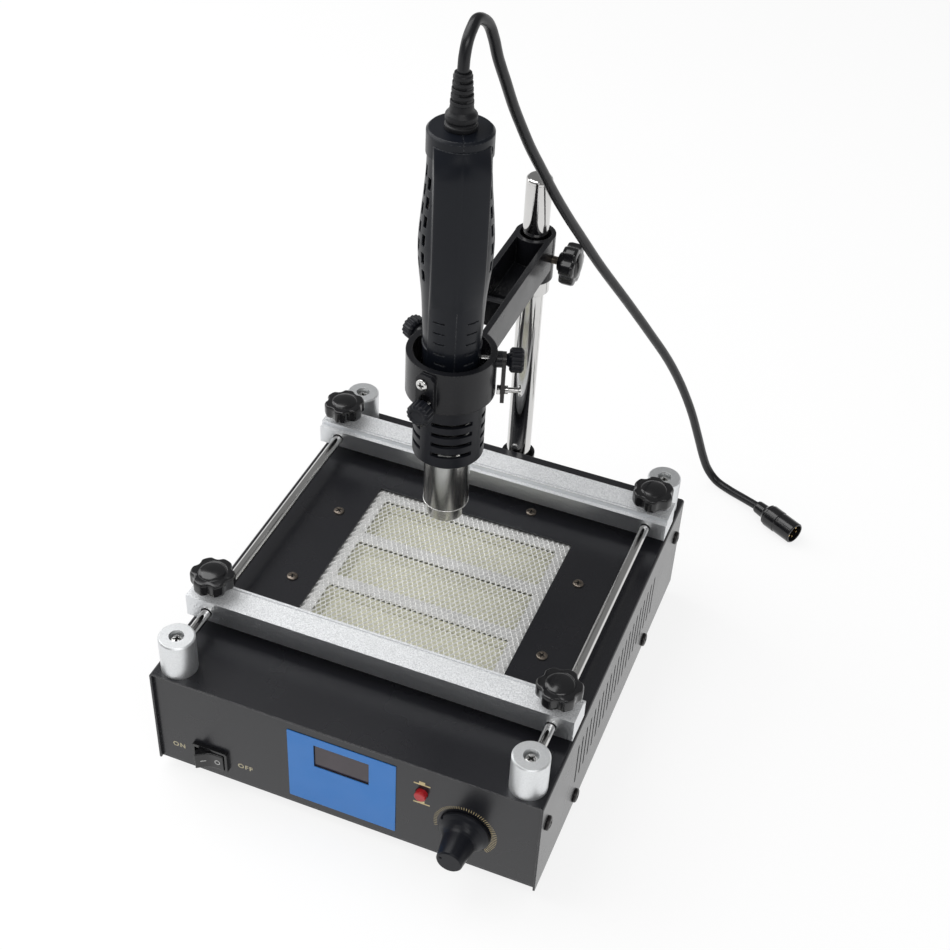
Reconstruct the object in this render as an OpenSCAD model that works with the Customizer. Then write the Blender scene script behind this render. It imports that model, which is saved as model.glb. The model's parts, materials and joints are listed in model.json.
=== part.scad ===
// Infrared preheating station for circuit boards
// Millimetres, +Z up, x to the right, y to the back, z = 0 on the table

/* [Housing] */
// Overall width of the housing
body_w = 236; // [234:1:244]
// Overall depth of the housing
body_d = 270; // [268:1:280]
// Height of the housing above its feet
body_h = 72; // [70:1:78]
// Thickness of the sheet metal
sheet = 1.2; // [1:0.1:1.4]
// How far the front and rear panels stand behind the edges of the cover
panel_recess = 2; // [1:0.5:3]
// Height of the rubber feet
foot_h = 8; // [6:1:12]
// Diameter of the rubber feet
foot_d = 18; // [15:1:20]
// Number of ventilation slots in each side
slot_n = 21; // [17:1:21]
// Distance between two ventilation slots
slot_pitch = 7.4; // [6.5:0.1:7.6]
// Width of a ventilation slot
slot_w = 2.2; // [1.6:0.1:2.8]
// Height of a ventilation slot
slot_h = 32; // [24:1:36]

/* [Heater] */
// Width of the heating opening
heat_w = 130; // [127:1:134]
// Depth of the heating opening
heat_d = 128; // [125:1:132]
// Gap between the heating tiles and the edge of the heating opening
tile_margin = 3; // [2:0.5:5]
// Height of a heating tile
tile_h = 8; // [6:0.5:9]
// Gap between two heating tiles
tile_gap = 1.3; // [1:0.1:1.5]
// Depth of the tile tops below the top of the cover
tile_drop = 8; // [7:0.5:10]
// Number of mesh openings along the width
mesh_nx = 16; // [12:1:18]
// Number of mesh openings along the depth
mesh_ny = 8; // [6:1:9]
// Width of a mesh strand
mesh_strand = 2; // [1.6:0.1:2.4]
// Width of the bars of the frame under the mesh
band = 8.2; // [6:0.2:9]

/* [Clamp rails] */
// Diameter of the corner posts
post_d = 21; // [19:1:22]
// Height of the corner posts
post_h = 24.5; // [22:0.5:28]
// Height of the guide rods above the cover
rod_up = 12.5; // [11.5:0.5:14]
// Diameter of the guide rods
rod_d = 6; // [5:0.5:6.5]
// Running clearance between rod and bar on the radius
rod_fit = 0.05; // [0.02:0.01:0.08]
// Depth of a clamp bar along the rods
bar_d = 20; // [18:1:22]
// Height of a clamp bar
bar_h = 15; // [14:0.5:16]
// Gap between the front corner posts and the front clamp bar
front_gap = 21.8; // [16:0.1:30]
// Gap between the rear corner posts and the rear clamp bar
rear_gap = 8.3; // [7.5:0.1:22]
// Width and depth of the ledge that carries a board's edge
ledge = 3; // [2:0.5:4]
// Diameter of a star knob
star_d = 26; // [22:1:28]
// Thickness of the lobed disc of a star knob
star_t = 9; // [7:0.5:10]

/* [Mast and arm] */
// Diameter of the mast
mast_d = 16; // [14:0.5:16]
// Length of the mast
mast_len = 261.5; // [256:0.5:280]
// Level of the top of the support arm above the table
arm_top = 244.5; // [242:0.5:256]
// Distance from the mast's axis to the centre of the ring
arm_reach = 133; // [130:1:140]
// Height of the ring and the collar of the support arm
ring_h = 26; // [25:0.5:27]
// Outer diameter of the ring
ring_d = 50; // [49:0.5:53]
// Diameter of the thumbscrew heads
thumb_d = 14; // [12:0.5:15]

/* [Hot air gun] */
// Turn of the gun about its own axis in the ring, in degrees
gun_turn = 27; // [0:1:60]
// Wall thickness of the handle shells
shell_t = 2; // [1.8:0.1:2.4]
// Diameter of the nozzle tube
tube_d = 26.4; // [25:0.2:26.8]
// Diameter of the outlet lip
lip_d = 21.4; // [20:0.2:22]
// Height of the outlet lip
lip_h = 9; // [6:0.5:11]

/* [Controls] */
// Diameter of the push button
button_d = 7; // [6:0.5:7.5]
// Travel of the push button
button_travel = 2; // [1:0.5:2]
// Distance from the right edge of the housing to the push button
button_in = 69.6; // [66:0.1:72]
// Distance from the right edge of the housing to the dial
dial_in = 43.5; // [38:0.5:46]
// Height of the dial above the underside of the housing
dial_up = 29.5; // [27:0.5:32]
// Diameter of the dial's skirt
dial_d = 30; // [27:0.5:32]
// Distance from the left edge of the housing to the rocker switch
rocker_in = 34.5; // [30:0.5:38]
// Height of the rocker switch above the underside of the housing
rocker_up = 15; // [14:0.5:20]
// Resting tilt of the rocker in degrees
rocker_tilt = 17; // [14:0.5:17]

/* [Cord] */
// Diameter of the cord
cord_d = 6; // [5:0.25:6]

/* [Hidden] */
$fn = 48;

e = 0.01;
touch = 0.3;
top_z = foot_h + body_h;
under_z = top_z - sheet;
face_y = body_d / 2 - panel_recess;
back_y = face_y - sheet;
side_in = body_w / 2 - sheet;
flange = 16;
post_x = body_w / 2 - 13;
post_y = body_d / 2 - 12;
rod_z = top_z + rod_up;
socket = 8;
rod_end = post_y - post_d / 2 + socket;
foot_x = body_w / 2 - 18;
foot_y = body_d / 2 - 22;
screw_up = foot_h + 48;
screw_low = foot_h + 6;
screw_up_y = body_d / 2 - 11;
screw_low_y = 68;
bar_front_y = front_gap + bar_d / 2 + post_d / 2 - post_y;
bar_rear_y = post_y - post_d / 2 - bar_d / 2 - rear_gap;
tile_l = heat_w - 2 * tile_margin;
tile_w = (heat_d - 2 * tile_margin - 2 * tile_gap) / 3;
button_x = body_w / 2 - button_in;
dial_x = body_w / 2 - dial_in;
rocker_x = rocker_in - body_w / 2;
mesh_w = heat_w + 6;
mesh_d = heat_d + 6;
mesh_t = 1;
tray_x = heat_w * 0.6154;
tray_y = heat_d * 0.6406;
tray_rim = 8;
frame_t = 1.5;
tile_z = top_z - tile_drop - tile_h;
board_t = 12;
tray_z = tile_z - board_t - 1;
bar_z0 = rod_z - 5.9;
bar_z1 = bar_z0 + bar_h;
knob_z = bar_z1 + 3;
stud_d = 5;
plate_t = 3;
mast_y = face_y + plate_t + mast_d / 2;
mast_z0 = 18;
mast_z1 = mast_z0 + mast_len;
tube_top = top_z - 6;
collar_z0 = arm_top - 30;
ring_z0 = arm_top - ring_h;
rail_z0 = arm_top - 22;
ring_y = mast_y - arm_reach;
web_y = ring_y + 57;
ring_ri = ring_d / 2 - 3.7;
bore_r = mast_d / 2 + 0.05;
collar_r = 12.5;
high_z = arm_top - 5;
low_z = arm_top - 22;
pad_r = ring_d / 2 + 2.7;
front_r = ring_d / 2 + 2.5;
a_right = 20;
a_left = 150;
a_front = -97;
a_screw = -102;
neck_r = 15.8;
guard_r = ring_ri - 0.95;
lip_l = 121;
dial_z = foot_h + dial_up;
rocker_z = foot_h + rocker_up;
button_z = foot_h + 48;
win_w = 33.6;
win_z0 = foot_h + 39;
win_z1 = foot_h + 57;
dial_front = face_y + 23.5;
pcb_y = -back_y + 14.2;

// A level in the gun, written as its height above the housing's underside as drawn
function g(l) = arm_top - 236.5 + l;

// The outer wall of the handle: [radius, level]
handle_wall = [[15.3, 211], [15.3, 218], [15.5, 226], [15.8, 232], [16.1, 238], [16.7, 245], [17.2, 254],
  [17.6, 264], [18.1, 273], [18.8, 280], [19.6, 287], [20.2, 294], [20.5, 300], [20.5, 306],
  [20.2, 312], [19.7, 318], [19.1, 325], [18.4, 332], [17.8, 339], [17.3, 346], [17.1, 353],
  [17.1, 367.8]];
cap_l = 369;

// The wall of the handle's front and back bands: [radius, level]
band_wall = [[15.3, 211], [15.3, 218], [15.5, 226], [15.8, 232], [16, 236], [17, 245], [17.7, 255], [18.9, 270],
  [19.8, 280], [20.6, 290], [21.2, 298], [21.6, 307], [21.7, 315], [21.5, 322], [21, 329], [20.2, 336],
  [19.3, 342], [18.3, 348], [17.5, 351.5], [17.1, 353]];

// The cord's route in the table frame
route = [[0, 11, 398], [0, 11, 408], [0, 12, 414], [0, 15, 420], [0, 20, 424], [0, 26, 426],
  [1, 32, 424], [2, 38, 419], [3, 43, 410], [4, 48, 398], [6, 56, 382], [8, 64, 366],
  [11, 72, 350], [14, 80, 335], [18, 91, 317], [22, 102, 299], [27, 115, 279], [33, 130, 257],
  [42, 149, 228], [55, 174, 191], [67, 195, 158], [78, 212, 129], [87, 226, 101], [95, 237, 73],
  [101, 245, 48], [106, 251, 27], [111, 254, 13], [119, 253, 5], [130, 248, 4], [142, 241, 6],
  [154, 234, 8]];
cord_sides = 10;
plug_a = -29.5;
plug_p = [154, 234, 8];

// Helpers
module ring_of(ro, ri, z0, z1) {
  difference() {
    translate([0, 0, z0]) cylinder(r = ro, h = z1 - z0);
    translate([0, 0, z0 - 1]) cylinder(r = ri, h = z1 - z0 + 2);
  }
}

module cylinder_at(r, z0, z1) {
  translate([0, 0, z0]) cylinder(r = r, h = z1 - z0);
}

module box(x0, x1, y0, y1, z0, z1) {
  translate([x0, y0, z0]) cube([x1 - x0, y1 - y0, z1 - z0]);
}

module rrect(w, h, r) {
  union() {
    square([w - 2 * r, h], center = true);
    square([w, h - 2 * r], center = true);
    for (sx = [-1, 1]) for (sy = [-1, 1]) translate([sx * (w / 2 - r), sy * (h / 2 - r)]) circle(r = r);
  }
}

module arch(w, h, r) {
  union() {
    translate([-w / 2, 0]) square([w, h - r]);
    translate([-w / 2 + r, 0]) square([w - 2 * r, h]);
    for (s = [-1, 1]) translate([s * (w / 2 - r), h - r]) circle(r = r);
  }
}

// Anything drawn along +z is turned to point along -y, with its base on the plane y = y0
module front_at(x, z, y0) {
  translate([x, y0, z]) rotate([90, 0, 0]) children();
}

module rear_at(x, z, y0) {
  translate([x, y0, z]) rotate([-90, 0, 0]) children();
}

// A child drawn along +z from the ring's centre outwards at angle a and level z
module radial(a, z) {
  translate([0, ring_y, z]) rotate([0, 0, a]) rotate([0, 90, 0]) children();
}

module pan_screw(r, h, shank_r, len) {
  rotate_extrude() polygon([[0, -len], [shank_r, -len], [shank_r, 0], [r, 0], [r, h * 0.5],
    [r * 0.85, h * 0.85], [r * 0.55, h], [0, h]]);
}

module four(x, y) {
  for (sx = [-1, 1]) for (sy = [-1, 1]) translate([sx * x, sy * y, 0]) children();
}

// Housing
module vents() {
  rotate([90, 0, 90]) linear_extrude(body_w + 4, center = true)
    for (i = [0 : slot_n - 1])
      translate([1.4 + (i - (slot_n - 1) / 2) * slot_pitch, foot_h + 39.2]) rrect(slot_w, slot_h, slot_w / 2 - e);
}

module tray_holes(r, z0, z1) {
  four(tray_x, heat_d / 4 + 0.5) translate([0, 0, z0]) cylinder(r = r, h = z1 - z0);
  four(heat_w / 4 - 1, tray_y) translate([0, 0, z0]) cylinder(r = r, h = z1 - z0);
}

module side_holes(x0, x1, r) {
  for (s = [-1, 1]) {
    for (y = [-screw_up_y, screw_up_y])
      translate([s * (x0 + x1) / 2, y, screw_up]) rotate([0, 90, 0]) cylinder(r = r, h = x1 - x0, center = true);
    for (y = [-screw_low_y, screw_low_y])
      translate([s * (x0 + x1) / 2, y, screw_low]) rotate([0, 90, 0]) cylinder(r = r, h = x1 - x0, center = true);
  }
}

module top_cover() {
  color("dimgray") difference() {
    translate([0, 0, foot_h]) rotate([90, 0, 0]) linear_extrude(body_d, center = true) difference() {
      arch(body_w, body_h, sheet + 0.8);
      translate([0, -e]) arch(body_w - 2 * sheet, body_h - sheet + e, 0.8);
    }
    translate([0, 0, top_z]) cube([heat_w, heat_d, 10], center = true);
    vents();
    tray_holes(1.6, under_z - 1, top_z + 1);
    side_holes(side_in - 1, body_w / 2 + 1, 1.6);
    four(post_x, post_y) translate([0, 0, under_z - 1]) cylinder(r = 2.15, h = sheet + 2);
  }
}

module base_pan() {
  color("gray") difference() {
    union() {
      box(-side_in, side_in, -face_y, face_y, foot_h, foot_h + sheet);
      for (s = [-1, 1]) translate([s * (side_in - sheet / 2), 0, foot_h + sheet + 7])
        cube([sheet, 2 * (back_y - flange), 14], center = true);
    }
    side_holes(side_in - sheet - 1, side_in + 1, 1.6);
    four(foot_x, foot_y) translate([0, 0, foot_h - 1]) cylinder(r = 2.1, h = sheet + 2);
    for (i = [-4 : 4]) for (s = [-1, 1]) translate([i * 12, s * 30, foot_h - 1])
      linear_extrude(sheet + 2) rrect(3, 36, 1.45);
  }
}

module panel(s) {
  difference() {
    union() {
      box(-side_in, side_in, min(s * face_y, s * back_y), max(s * face_y, s * back_y), foot_h + sheet, under_z);
      for (k = [-1, 1]) translate([k * (side_in - sheet / 2), s * (back_y - flange / 2), (foot_h + sheet + under_z) / 2])
        cube([sheet, flange, under_z - foot_h - sheet], center = true);
    }
    side_holes(side_in - sheet - 1, side_in + 1, 1.6);
    for (k = [-1, 1]) translate([k * side_in, 0, under_z]) rotate([0, 45, 0]) cube([1.14, body_d, 1.14], center = true);
  }
}

module front_panel() {
  color("dimgray") union() {
    difference() {
      panel(-1);
      front_at(0, (win_z0 + win_z1) / 2, -back_y + 1) linear_extrude(sheet + 2) rrect(win_w, win_z1 - win_z0, 0.8);
      front_at(button_x, button_z, -back_y + 1) cylinder(r = button_d / 2 + touch, h = sheet + 2);
      front_at(dial_x, dial_z, -back_y + 1) cylinder(r = 3.6, h = sheet + 2);
      front_at(rocker_x, rocker_z, -back_y + 1) linear_extrude(sheet + 2) square([20, 14], center = true);
    }
    for (p = [[-22, 26], [-22, 68], [90, 24], [90, 64]])
      translate([p[0], -back_y, p[1] - 8 + foot_h]) rotate([-90, 0, 0]) cylinder(r = 2.6, h = pcb_y + back_y);
  }
}

inlet_x = -70;
inlet_z = foot_h + 34;

module rear_panel() {
  color("dimgray") difference() {
    panel(1);
    rear_at(inlet_x, inlet_z, back_y - 1) linear_extrude(sheet + 2) square([27.6, 20.6], center = true);
    for (sx = [-1, 1]) for (z = [26, 60])
      rear_at(sx * 19, z, back_y - 1) cylinder(r = 1.6, h = sheet + 2);
    for (i = [-3 : 3]) rear_at(75 + i * 7, foot_h + 36, back_y - 1) linear_extrude(sheet + 2) rrect(2.2, 28, 1.09);
  }
}

module rubber_feet() {
  color("black") four(foot_x, foot_y) difference() {
    union() {
      rotate_extrude() polygon([[0, 0], [foot_d / 2 - 1.6, 0], [foot_d / 2 - 1, 0.6], [foot_d / 2, foot_h], [0, foot_h]]);
      cylinder(r = 1.95, h = foot_h + sheet + 3);
    }
    translate([0, 0, -1]) cylinder(r = 3.5, h = 4);
  }
}

module side_screw() {
  pan_screw(4.25, 2.2, 1.45, 7);
}

module cover_screws() {
  color("black") for (s = [-1, 1]) {
    for (y = [-screw_up_y, screw_up_y]) translate([s * body_w / 2, y, screw_up]) rotate([0, s * 90, 0]) side_screw();
    for (y = [-screw_low_y, screw_low_y]) translate([s * body_w / 2, y, screw_low]) rotate([0, s * 90, 0]) side_screw();
  }
}

// Heater
lead_x = 52;
function tile_y(i) = i * (tile_w + tile_gap);

module leads(r, z0, z1) {
  for (i = [-1 : 1]) for (s = [-1, 1]) translate([s * lead_x, tile_y(i), z0]) cylinder(r = r, h = z1 - z0);
}

module reflector_tray() {
  color("silver") difference() {
    union() {
      box(-tray_x - tray_rim, tray_x + tray_rim, -tray_y - tray_rim, tray_y + tray_rim, under_z - 1, under_z);
      box(-mesh_w / 2 - 1.3, mesh_w / 2 + 1.3, -mesh_d / 2 - 1.3, mesh_d / 2 + 1.3, under_z - 3.5, under_z - 0.5);
      box(-heat_w / 2 - 1, heat_w / 2 + 1, -heat_d / 2 - 1, heat_d / 2 + 1, tray_z, under_z - 3);
    }
    box(-mesh_w / 2 - 0.3, mesh_w / 2 + 0.3, -mesh_d / 2 - 0.3, mesh_d / 2 + 0.3, under_z - 2.5, under_z + 1);
    box(-heat_w / 2, heat_w / 2, -heat_d / 2, heat_d / 2, tray_z + 1, under_z);
    tray_holes(1.6, under_z - 2, under_z + 1);
    leads(2.6, tray_z - 1, tray_z + 2);
  }
}

module insulation_board() {
  color("beige") difference() {
    box(-heat_w / 2 + 0.4, heat_w / 2 - 0.4, -heat_d / 2 + 0.4, heat_d / 2 - 0.4, tray_z + 1, tile_z);
    leads(2.6, tray_z, tile_z + 1);
  }
}

module heater_tiles() {
  color("ivory") for (i = [-1 : 1]) union() {
    translate([0, tile_y(i), tile_z]) rotate([90, 0, 90]) linear_extrude(tile_l, center = true)
      polygon([[-tile_w / 2, 0], [tile_w / 2, 0], [tile_w / 2, tile_h - 1.2], [tile_w / 2 - 1.2, tile_h],
        [1.2 - tile_w / 2, tile_h], [-tile_w / 2, tile_h - 1.2]]);
    for (s = [-1, 1]) translate([s * lead_x, tile_y(i), tray_z - 7]) cylinder(r = 2, h = tile_z - tray_z + 8);
  }
}

module mesh_frame() {
  pitch = tile_w + tile_gap;
  win = pitch - band;
  color("silver") difference() {
    box(-mesh_w / 2, mesh_w / 2, -mesh_d / 2, mesh_d / 2, under_z - mesh_t - frame_t, under_z - mesh_t);
    for (i = [-1 : 1]) translate([-0.2, i * pitch - 1.2, 0])
      box(band - 1.2 - heat_w / 2, heat_w / 2 - band + 1.2, -win / 2, win / 2, under_z - 5, under_z + 1);
  }
}

module mesh_guard() {
  px = mesh_w / mesh_nx;
  py = mesh_d / mesh_ny;
  h = px * py / 2 / norm([px, py]);
  k = (h - mesh_strand / 2) / h;
  color("silver") translate([0, 0, under_z - mesh_t]) linear_extrude(mesh_t) difference() {
    square([mesh_w, mesh_d], center = true);
    for (j = [0 : 2 * mesh_ny - 2]) for (i = [0 : mesh_nx - 1 - (j % 2 == 0 ? 0 : 1)])
      translate([(i - (mesh_nx - 1) / 2 + (j % 2 == 0 ? 0 : 0.5)) * px, (j - mesh_ny + 1) * py / 2])
        polygon([[-px / 2 * k, 0], [0, -py / 2 * k], [px / 2 * k, 0], [0, py / 2 * k]]);
  }
}

module tray_screws() {
  color("silver") {
    four(tray_x, heat_d / 4 + 0.5) translate([0, 0, top_z]) pan_screw(3.3, 1.6, 1.5, 6);
    four(heat_w / 4 - 1, tray_y) translate([0, 0, top_z]) pan_screw(3.3, 1.6, 1.5, 6);
  }
}

// Clamp rails
module rod_holes(r, y0, y1) {
  for (s = [-1, 1]) translate([s * post_x, y0, rod_z]) rotate([-90, 0, 0]) cylinder(r = r, h = y1 - y0);
}

module corner_posts() {
  r = post_d / 2;
  color("silver") difference() {
    four(post_x, post_y) translate([0, 0, top_z]) rotate_extrude()
      polygon([[2.15, 0], [r, 0], [r, post_h - 0.8], [r - 0.8, post_h], [4.35, post_h], [4.35, post_h - 4.5],
        [2.15, post_h - 4.5]]);
    for (s = [-1, 1]) rod_holes(rod_d / 2 + 0.04, s > 0 ? post_y - r - 1 : -rod_end, s > 0 ? rod_end : 1 + r - post_y);
  }
}

module post_screws() {
  color("silver") four(post_x, post_y) translate([0, 0, top_z + post_h - 4.5]) union() {
    pan_screw(3.8, 2.5, 2, post_h - 4.5 + sheet + 5);
    translate([0, 0, -(post_h - 4.5) - sheet - 3.2]) cylinder(r = 4, h = 3.2, $fn = 6);
  }
}

module guide_rods() {
  color("silver") rod_holes(rod_d / 2, -rod_end, rod_end);
}

module clamp_bar(yc, s) {
  color("silver") difference() {
    box(-body_w / 2, body_w / 2, yc - bar_d / 2, yc + bar_d / 2, bar_z0, bar_z1);
    translate([0, yc + s * bar_d / 2, bar_z1]) cube([body_w + 2, 2 * ledge, 2 * ledge], center = true);
    translate([0, yc + s * (bar_d / 2 - ledge - 1.6), bar_z1]) cube([body_w + 2, 1, 1.2], center = true);
    rod_holes(rod_d / 2 + rod_fit, yc - bar_d / 2 - 1, yc + bar_d / 2 + 1);
    rod_holes(rod_d / 2 + 0.75, yc - bar_d / 2 - 1, yc - bar_d / 2 + 2.5);
    rod_holes(rod_d / 2 + 0.75, yc + bar_d / 2 - 2.5, yc + bar_d / 2 + 1);
    for (k = [-1, 1]) translate([k * post_x, yc, rod_z]) cylinder(r = stud_d / 2 + 0.08, h = bar_h + 1);
  }
}

module clamp_bar_front() clamp_bar(bar_front_y, 1);

module clamp_bar_rear() clamp_bar(bar_rear_y, -1);

module star(stud_len) {
  r = star_d / 2;
  difference() {
    union() {
      intersection() {
        translate([0, 0, 3]) linear_extrude(star_t + 0.2) difference() {
          circle(r = r);
          for (k = [0 : 5]) rotate(30 + 60 * k) translate([r + 3.7, 0]) circle(r = 5.5);
        }
        rotate_extrude() polygon([[0, 3], [r - 2.6, 3], [r - 0.8, 3.6], [r, 5], [r, star_t + 1], [r - 1, star_t + 2.4],
          [r - 2.8, star_t + 3.1], [0, star_t + 3.2]]);
      }
      translate([0, 0, star_t + 3.2]) rotate_extrude() polygon([[0, -1], [7.9, -1], [7.9, 0], [7.2, 0.7], [5.6, 1.3],
        [3.6, 1.7], [0, 1.9]]);
      cylinder(r1 = 5.6, r2 = 6.4, h = 3.5);
    }
  }
  translate([0, 0, -stud_len]) cylinder(r = stud_d / 2, h = stud_len + 2);
}

module clamp_knob(sx, yc) {
  color("black") translate([sx * post_x, yc, knob_z]) star(knob_z - rod_z - rod_d / 2 - touch);
}

module clamp_knob_front_left() clamp_knob(-1, bar_front_y);

module clamp_knob_front_right() clamp_knob(1, bar_front_y);

module clamp_knob_rear_left() clamp_knob(-1, bar_rear_y);

module clamp_knob_rear_right() clamp_knob(1, bar_rear_y);

// Mast
module mast_bracket() {
  color("dimgray") difference() {
    union() {
      box(-25, 25, face_y, face_y + plate_t, 18, 70);
      translate([0, mast_y, mast_z0 - 3]) cylinder(r = mast_d / 2 + plate_t, h = tube_top - mast_z0 + 3);
      for (s = [-1, 1]) translate([s * (mast_d / 2 + 3), face_y + 1, 30]) rotate([0, 0, 0]) linear_extrude(30)
        polygon([[-1.5, 0], [1.5, 0], [1.5, 3], [-1.5, 9]]);
    }
    translate([0, mast_y, mast_z0]) cylinder(r = bore_r, h = 100);
    translate([0, mast_y, tube_top - 3]) cylinder(r1 = bore_r, r2 = bore_r + 2.4, h = 3 + e);
    for (sx = [-1, 1]) for (z = [26, 60])
      rear_at(sx * 19, z, face_y - 1) cylinder(r = 1.6, h = plate_t + 2);
  }
}

module bracket_screws() {
  color("silver") for (sx = [-1, 1]) for (z = [26, 60]) rear_at(sx * 19, z, face_y + plate_t) union() {
    pan_screw(3.3, 2, 1.5, plate_t + sheet + 4);
    translate([0, 0, -plate_t - sheet - 2.4]) cylinder(r = 3.2, h = 2.4, $fn = 6);
  }
}

module mast() {
  color("silver") difference() {
    translate([0, mast_y, mast_z0]) cylinder(r = mast_d / 2, h = mast_len);
    translate([0, mast_y, mast_z0 - 1]) cylinder(r = mast_d / 2 - 1.5, h = mast_len + 2);
    front_at(0, top_z + 3.5, mast_y - mast_d / 2 + 2.5) cylinder(r = 1.3, h = 5);
  }
}

module mast_screw() {
  color("silver") front_at(0, top_z + 3.5, mast_y - mast_d / 2 + 0.2) union() {
    translate([0, 0, -3.5]) cylinder(r = 1.2, h = 4);
    rotate_extrude() polygon([[0, 0.22], [2.2, 0.22], [2.2, 0.7], [1.5, 1.1], [0, 1.2]]);
  }
}

module mast_cap() {
  r = mast_d / 2;
  color("silver") translate([0, mast_y, mast_z1]) rotate_extrude()
    polygon([[0, -8], [r - 1.56, -8], [r - 1.56, 0], [r, 0], [r, 1.6], [r - 0.5, 2.5], [r - 1.4, 3], [0, 3]]);
}

module stop_ring() {
  color("silver") difference() {
    translate([0, mast_y, collar_z0 - 10]) rotate_extrude()
      polygon([[bore_r, 0.4], [bore_r + 0.4, 0], [10.5, 0], [11, 0.5], [11, 9.5], [10.5, 10], [bore_r, 10]]);
    translate([0, mast_y, collar_z0 - 5]) rotate([0, 0, 215]) rotate([0, 90, 0]) cylinder(r = 1.55, h = 20);
  }
}

module stop_ring_screw() {
  color("black") translate([0, mast_y, collar_z0 - 5]) rotate([0, 0, 215]) rotate([0, 90, 0])
    translate([0, 0, bore_r]) cylinder(r = 1.5, h = 3.6);
}

// Support arm
module support_arm() {
  color("dimgray") difference() {
    union() {
      translate([0, mast_y, 0]) cylinder_at(collar_r, collar_z0, arm_top);
      for (s = [-1, 1]) translate([s > 0 ? 8.7 : -12.2, ring_y + ring_d / 2 - 11, rail_z0])
        cube([3.5, mast_y - ring_y - ring_d / 2 + 11, 22]);
      translate([-9.2, 0, 0]) rotate([90, 0, 90]) linear_extrude(18.4) polygon([[web_y, rail_z0 + 1.5],
        [web_y, arm_top - 3.5], [web_y + 2.5, arm_top - 3.6], [web_y + 7, arm_top - 5], [web_y + 12, arm_top - 8],
        [web_y + 17, arm_top - 12.5], [web_y + 22, arm_top - 15.8], [web_y + 28, rail_z0 + 4.5],
        [mast_y, rail_z0 + 4.5], [mast_y, rail_z0 + 1.5]]);
      translate([0, ring_y, 0]) cylinder_at(ring_d / 2, ring_z0, arm_top);
      for (a = [a_right, a_left]) radial(a, high_z) translate([0, 0, ring_ri - 2]) cylinder(r = 4.6, h = pad_r - ring_ri + 2);
      rotate_about_ring(a_screw + 3) translate([ring_ri - 2, 0, 0]) rotate([90, 0, 90])
        linear_extrude(front_r - ring_ri + 2) polygon([[-5.7, ring_z0 + 0.5], [5.7, ring_z0 + 0.5], [5.7, arm_top - 4],
          [3.4, arm_top - 1.5], [-3.4, arm_top - 1.5], [-5.7, arm_top - 4]]);
    }
    translate([0, mast_y, 0]) cylinder_at(bore_r, collar_z0 - 1, arm_top + 1);
    translate([0, mast_y, 0]) cylinder_at(9.75, arm_top - 6, arm_top + 1);
    translate([0, ring_y, 0]) cylinder_at(ring_ri, ring_z0 - 1, arm_top + 1);
    for (a = [a_right, a_left]) radial(a, high_z) translate([0, 0, 10]) cylinder(r = 2.1, h = 30);
    radial(a_front, low_z) translate([0, 0, 10]) cylinder(r = 2.1, h = 30);
    radial(a_screw, arm_top - 7.5) translate([0, 0, 10]) cylinder(r = 1.55, h = 30);
    radial(a_screw, arm_top - 7.5) translate([0, 0, front_r - 0.4]) cylinder(r = 3.62, h = 6);
    rotate_about_ring(a_front) translate([ring_d / 2 - 0.4, 0, low_z + 5]) rotate([90, 0, 90])
      linear_extrude(10) union() {
        circle(r = 3.6);
        translate([-3.6, ring_z0 - low_z - 7]) square([7.2, low_z + 7 - ring_z0]);
      }
    translate([0, mast_y, arm_top - 16]) rotate([0, 90, 0]) cylinder(r = 2.58, h = 20);
  }
}

module rotate_about_ring(a) {
  translate([0, ring_y, 0]) rotate([0, 0, a]) children();
}

module arm_knob() {
  color("black") translate([16.5, mast_y, arm_top - 16]) rotate([0, 90, 0]) star(16.5 - bore_r);
}

module thumb(tip, seat) {
  r = thumb_d / 2;
  translate([0, 0, tip]) cylinder(r = 2, h = seat - tip + 2);
  translate([0, 0, seat]) cylinder(r1 = 3.2, r2 = 4.2, h = 1.6);
  intersection() {
    translate([0, 0, seat + 1.5]) linear_extrude(8) difference() {
      circle(r = r);
      for (k = [0 : 13]) rotate(k * 360 / 14) translate([r + 0.55, 0]) circle(r = 1.1);
    }
    translate([0, 0, seat + 1.5]) rotate_extrude() polygon([[0, 0], [r - 1.6, 0], [r, 1.4], [r, 6.6], [r - 1.4, 8],
      [0, 8]]);
  }
}

module ring_knob_right() {
  color("black") radial(a_right, high_z) thumb(neck_r + 0.1, pad_r + 2.3);
}

module ring_knob_left() {
  color("black") radial(a_left, high_z) thumb(neck_r + 0.1, pad_r + 0.1);
}

module ring_knob_front() {
  color("black") radial(a_front, low_z) thumb(guard_r + 0.15, front_r + 0.1);
}

module holder_screw() {
  color("silver") radial(a_screw, arm_top - 7.5) translate([0, 0, front_r - 0.4]) pan_screw(3.5, 2.2, 1.5, 5);
}

module side_strip() {
  color("black") difference() {
    radial(a_right, 0) translate([0, 0, pad_r]) linear_extrude(2.2) difference() {
      union() {
        translate([-high_z, 0]) circle(r = 4.5);
        translate([-high_z, -4.5]) square([26.5, 9]);
      }
      translate([-high_z, 0]) circle(r = 2.1);
      translate([-high_z + 20.5, 0]) circle(r = 1.6);
    }
  }
}

module side_strip_screw() {
  color("dimgray") radial(a_right, high_z - 20.5) union() {
    translate([0, 0, pad_r + 10]) pan_screw(3.25, 2, 1.5, 12.1);
    translate([0, 0, pad_r - 2.1]) cylinder(r = 3, h = 2.1, $fn = 6);
    translate([0, 0, pad_r + 2.2]) cylinder(r = 2.4, h = 2);
  }
}

// Gun
module in_gun() {
  translate([0, ring_y, 0]) rotate([0, 0, gun_turn]) children();
}

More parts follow.
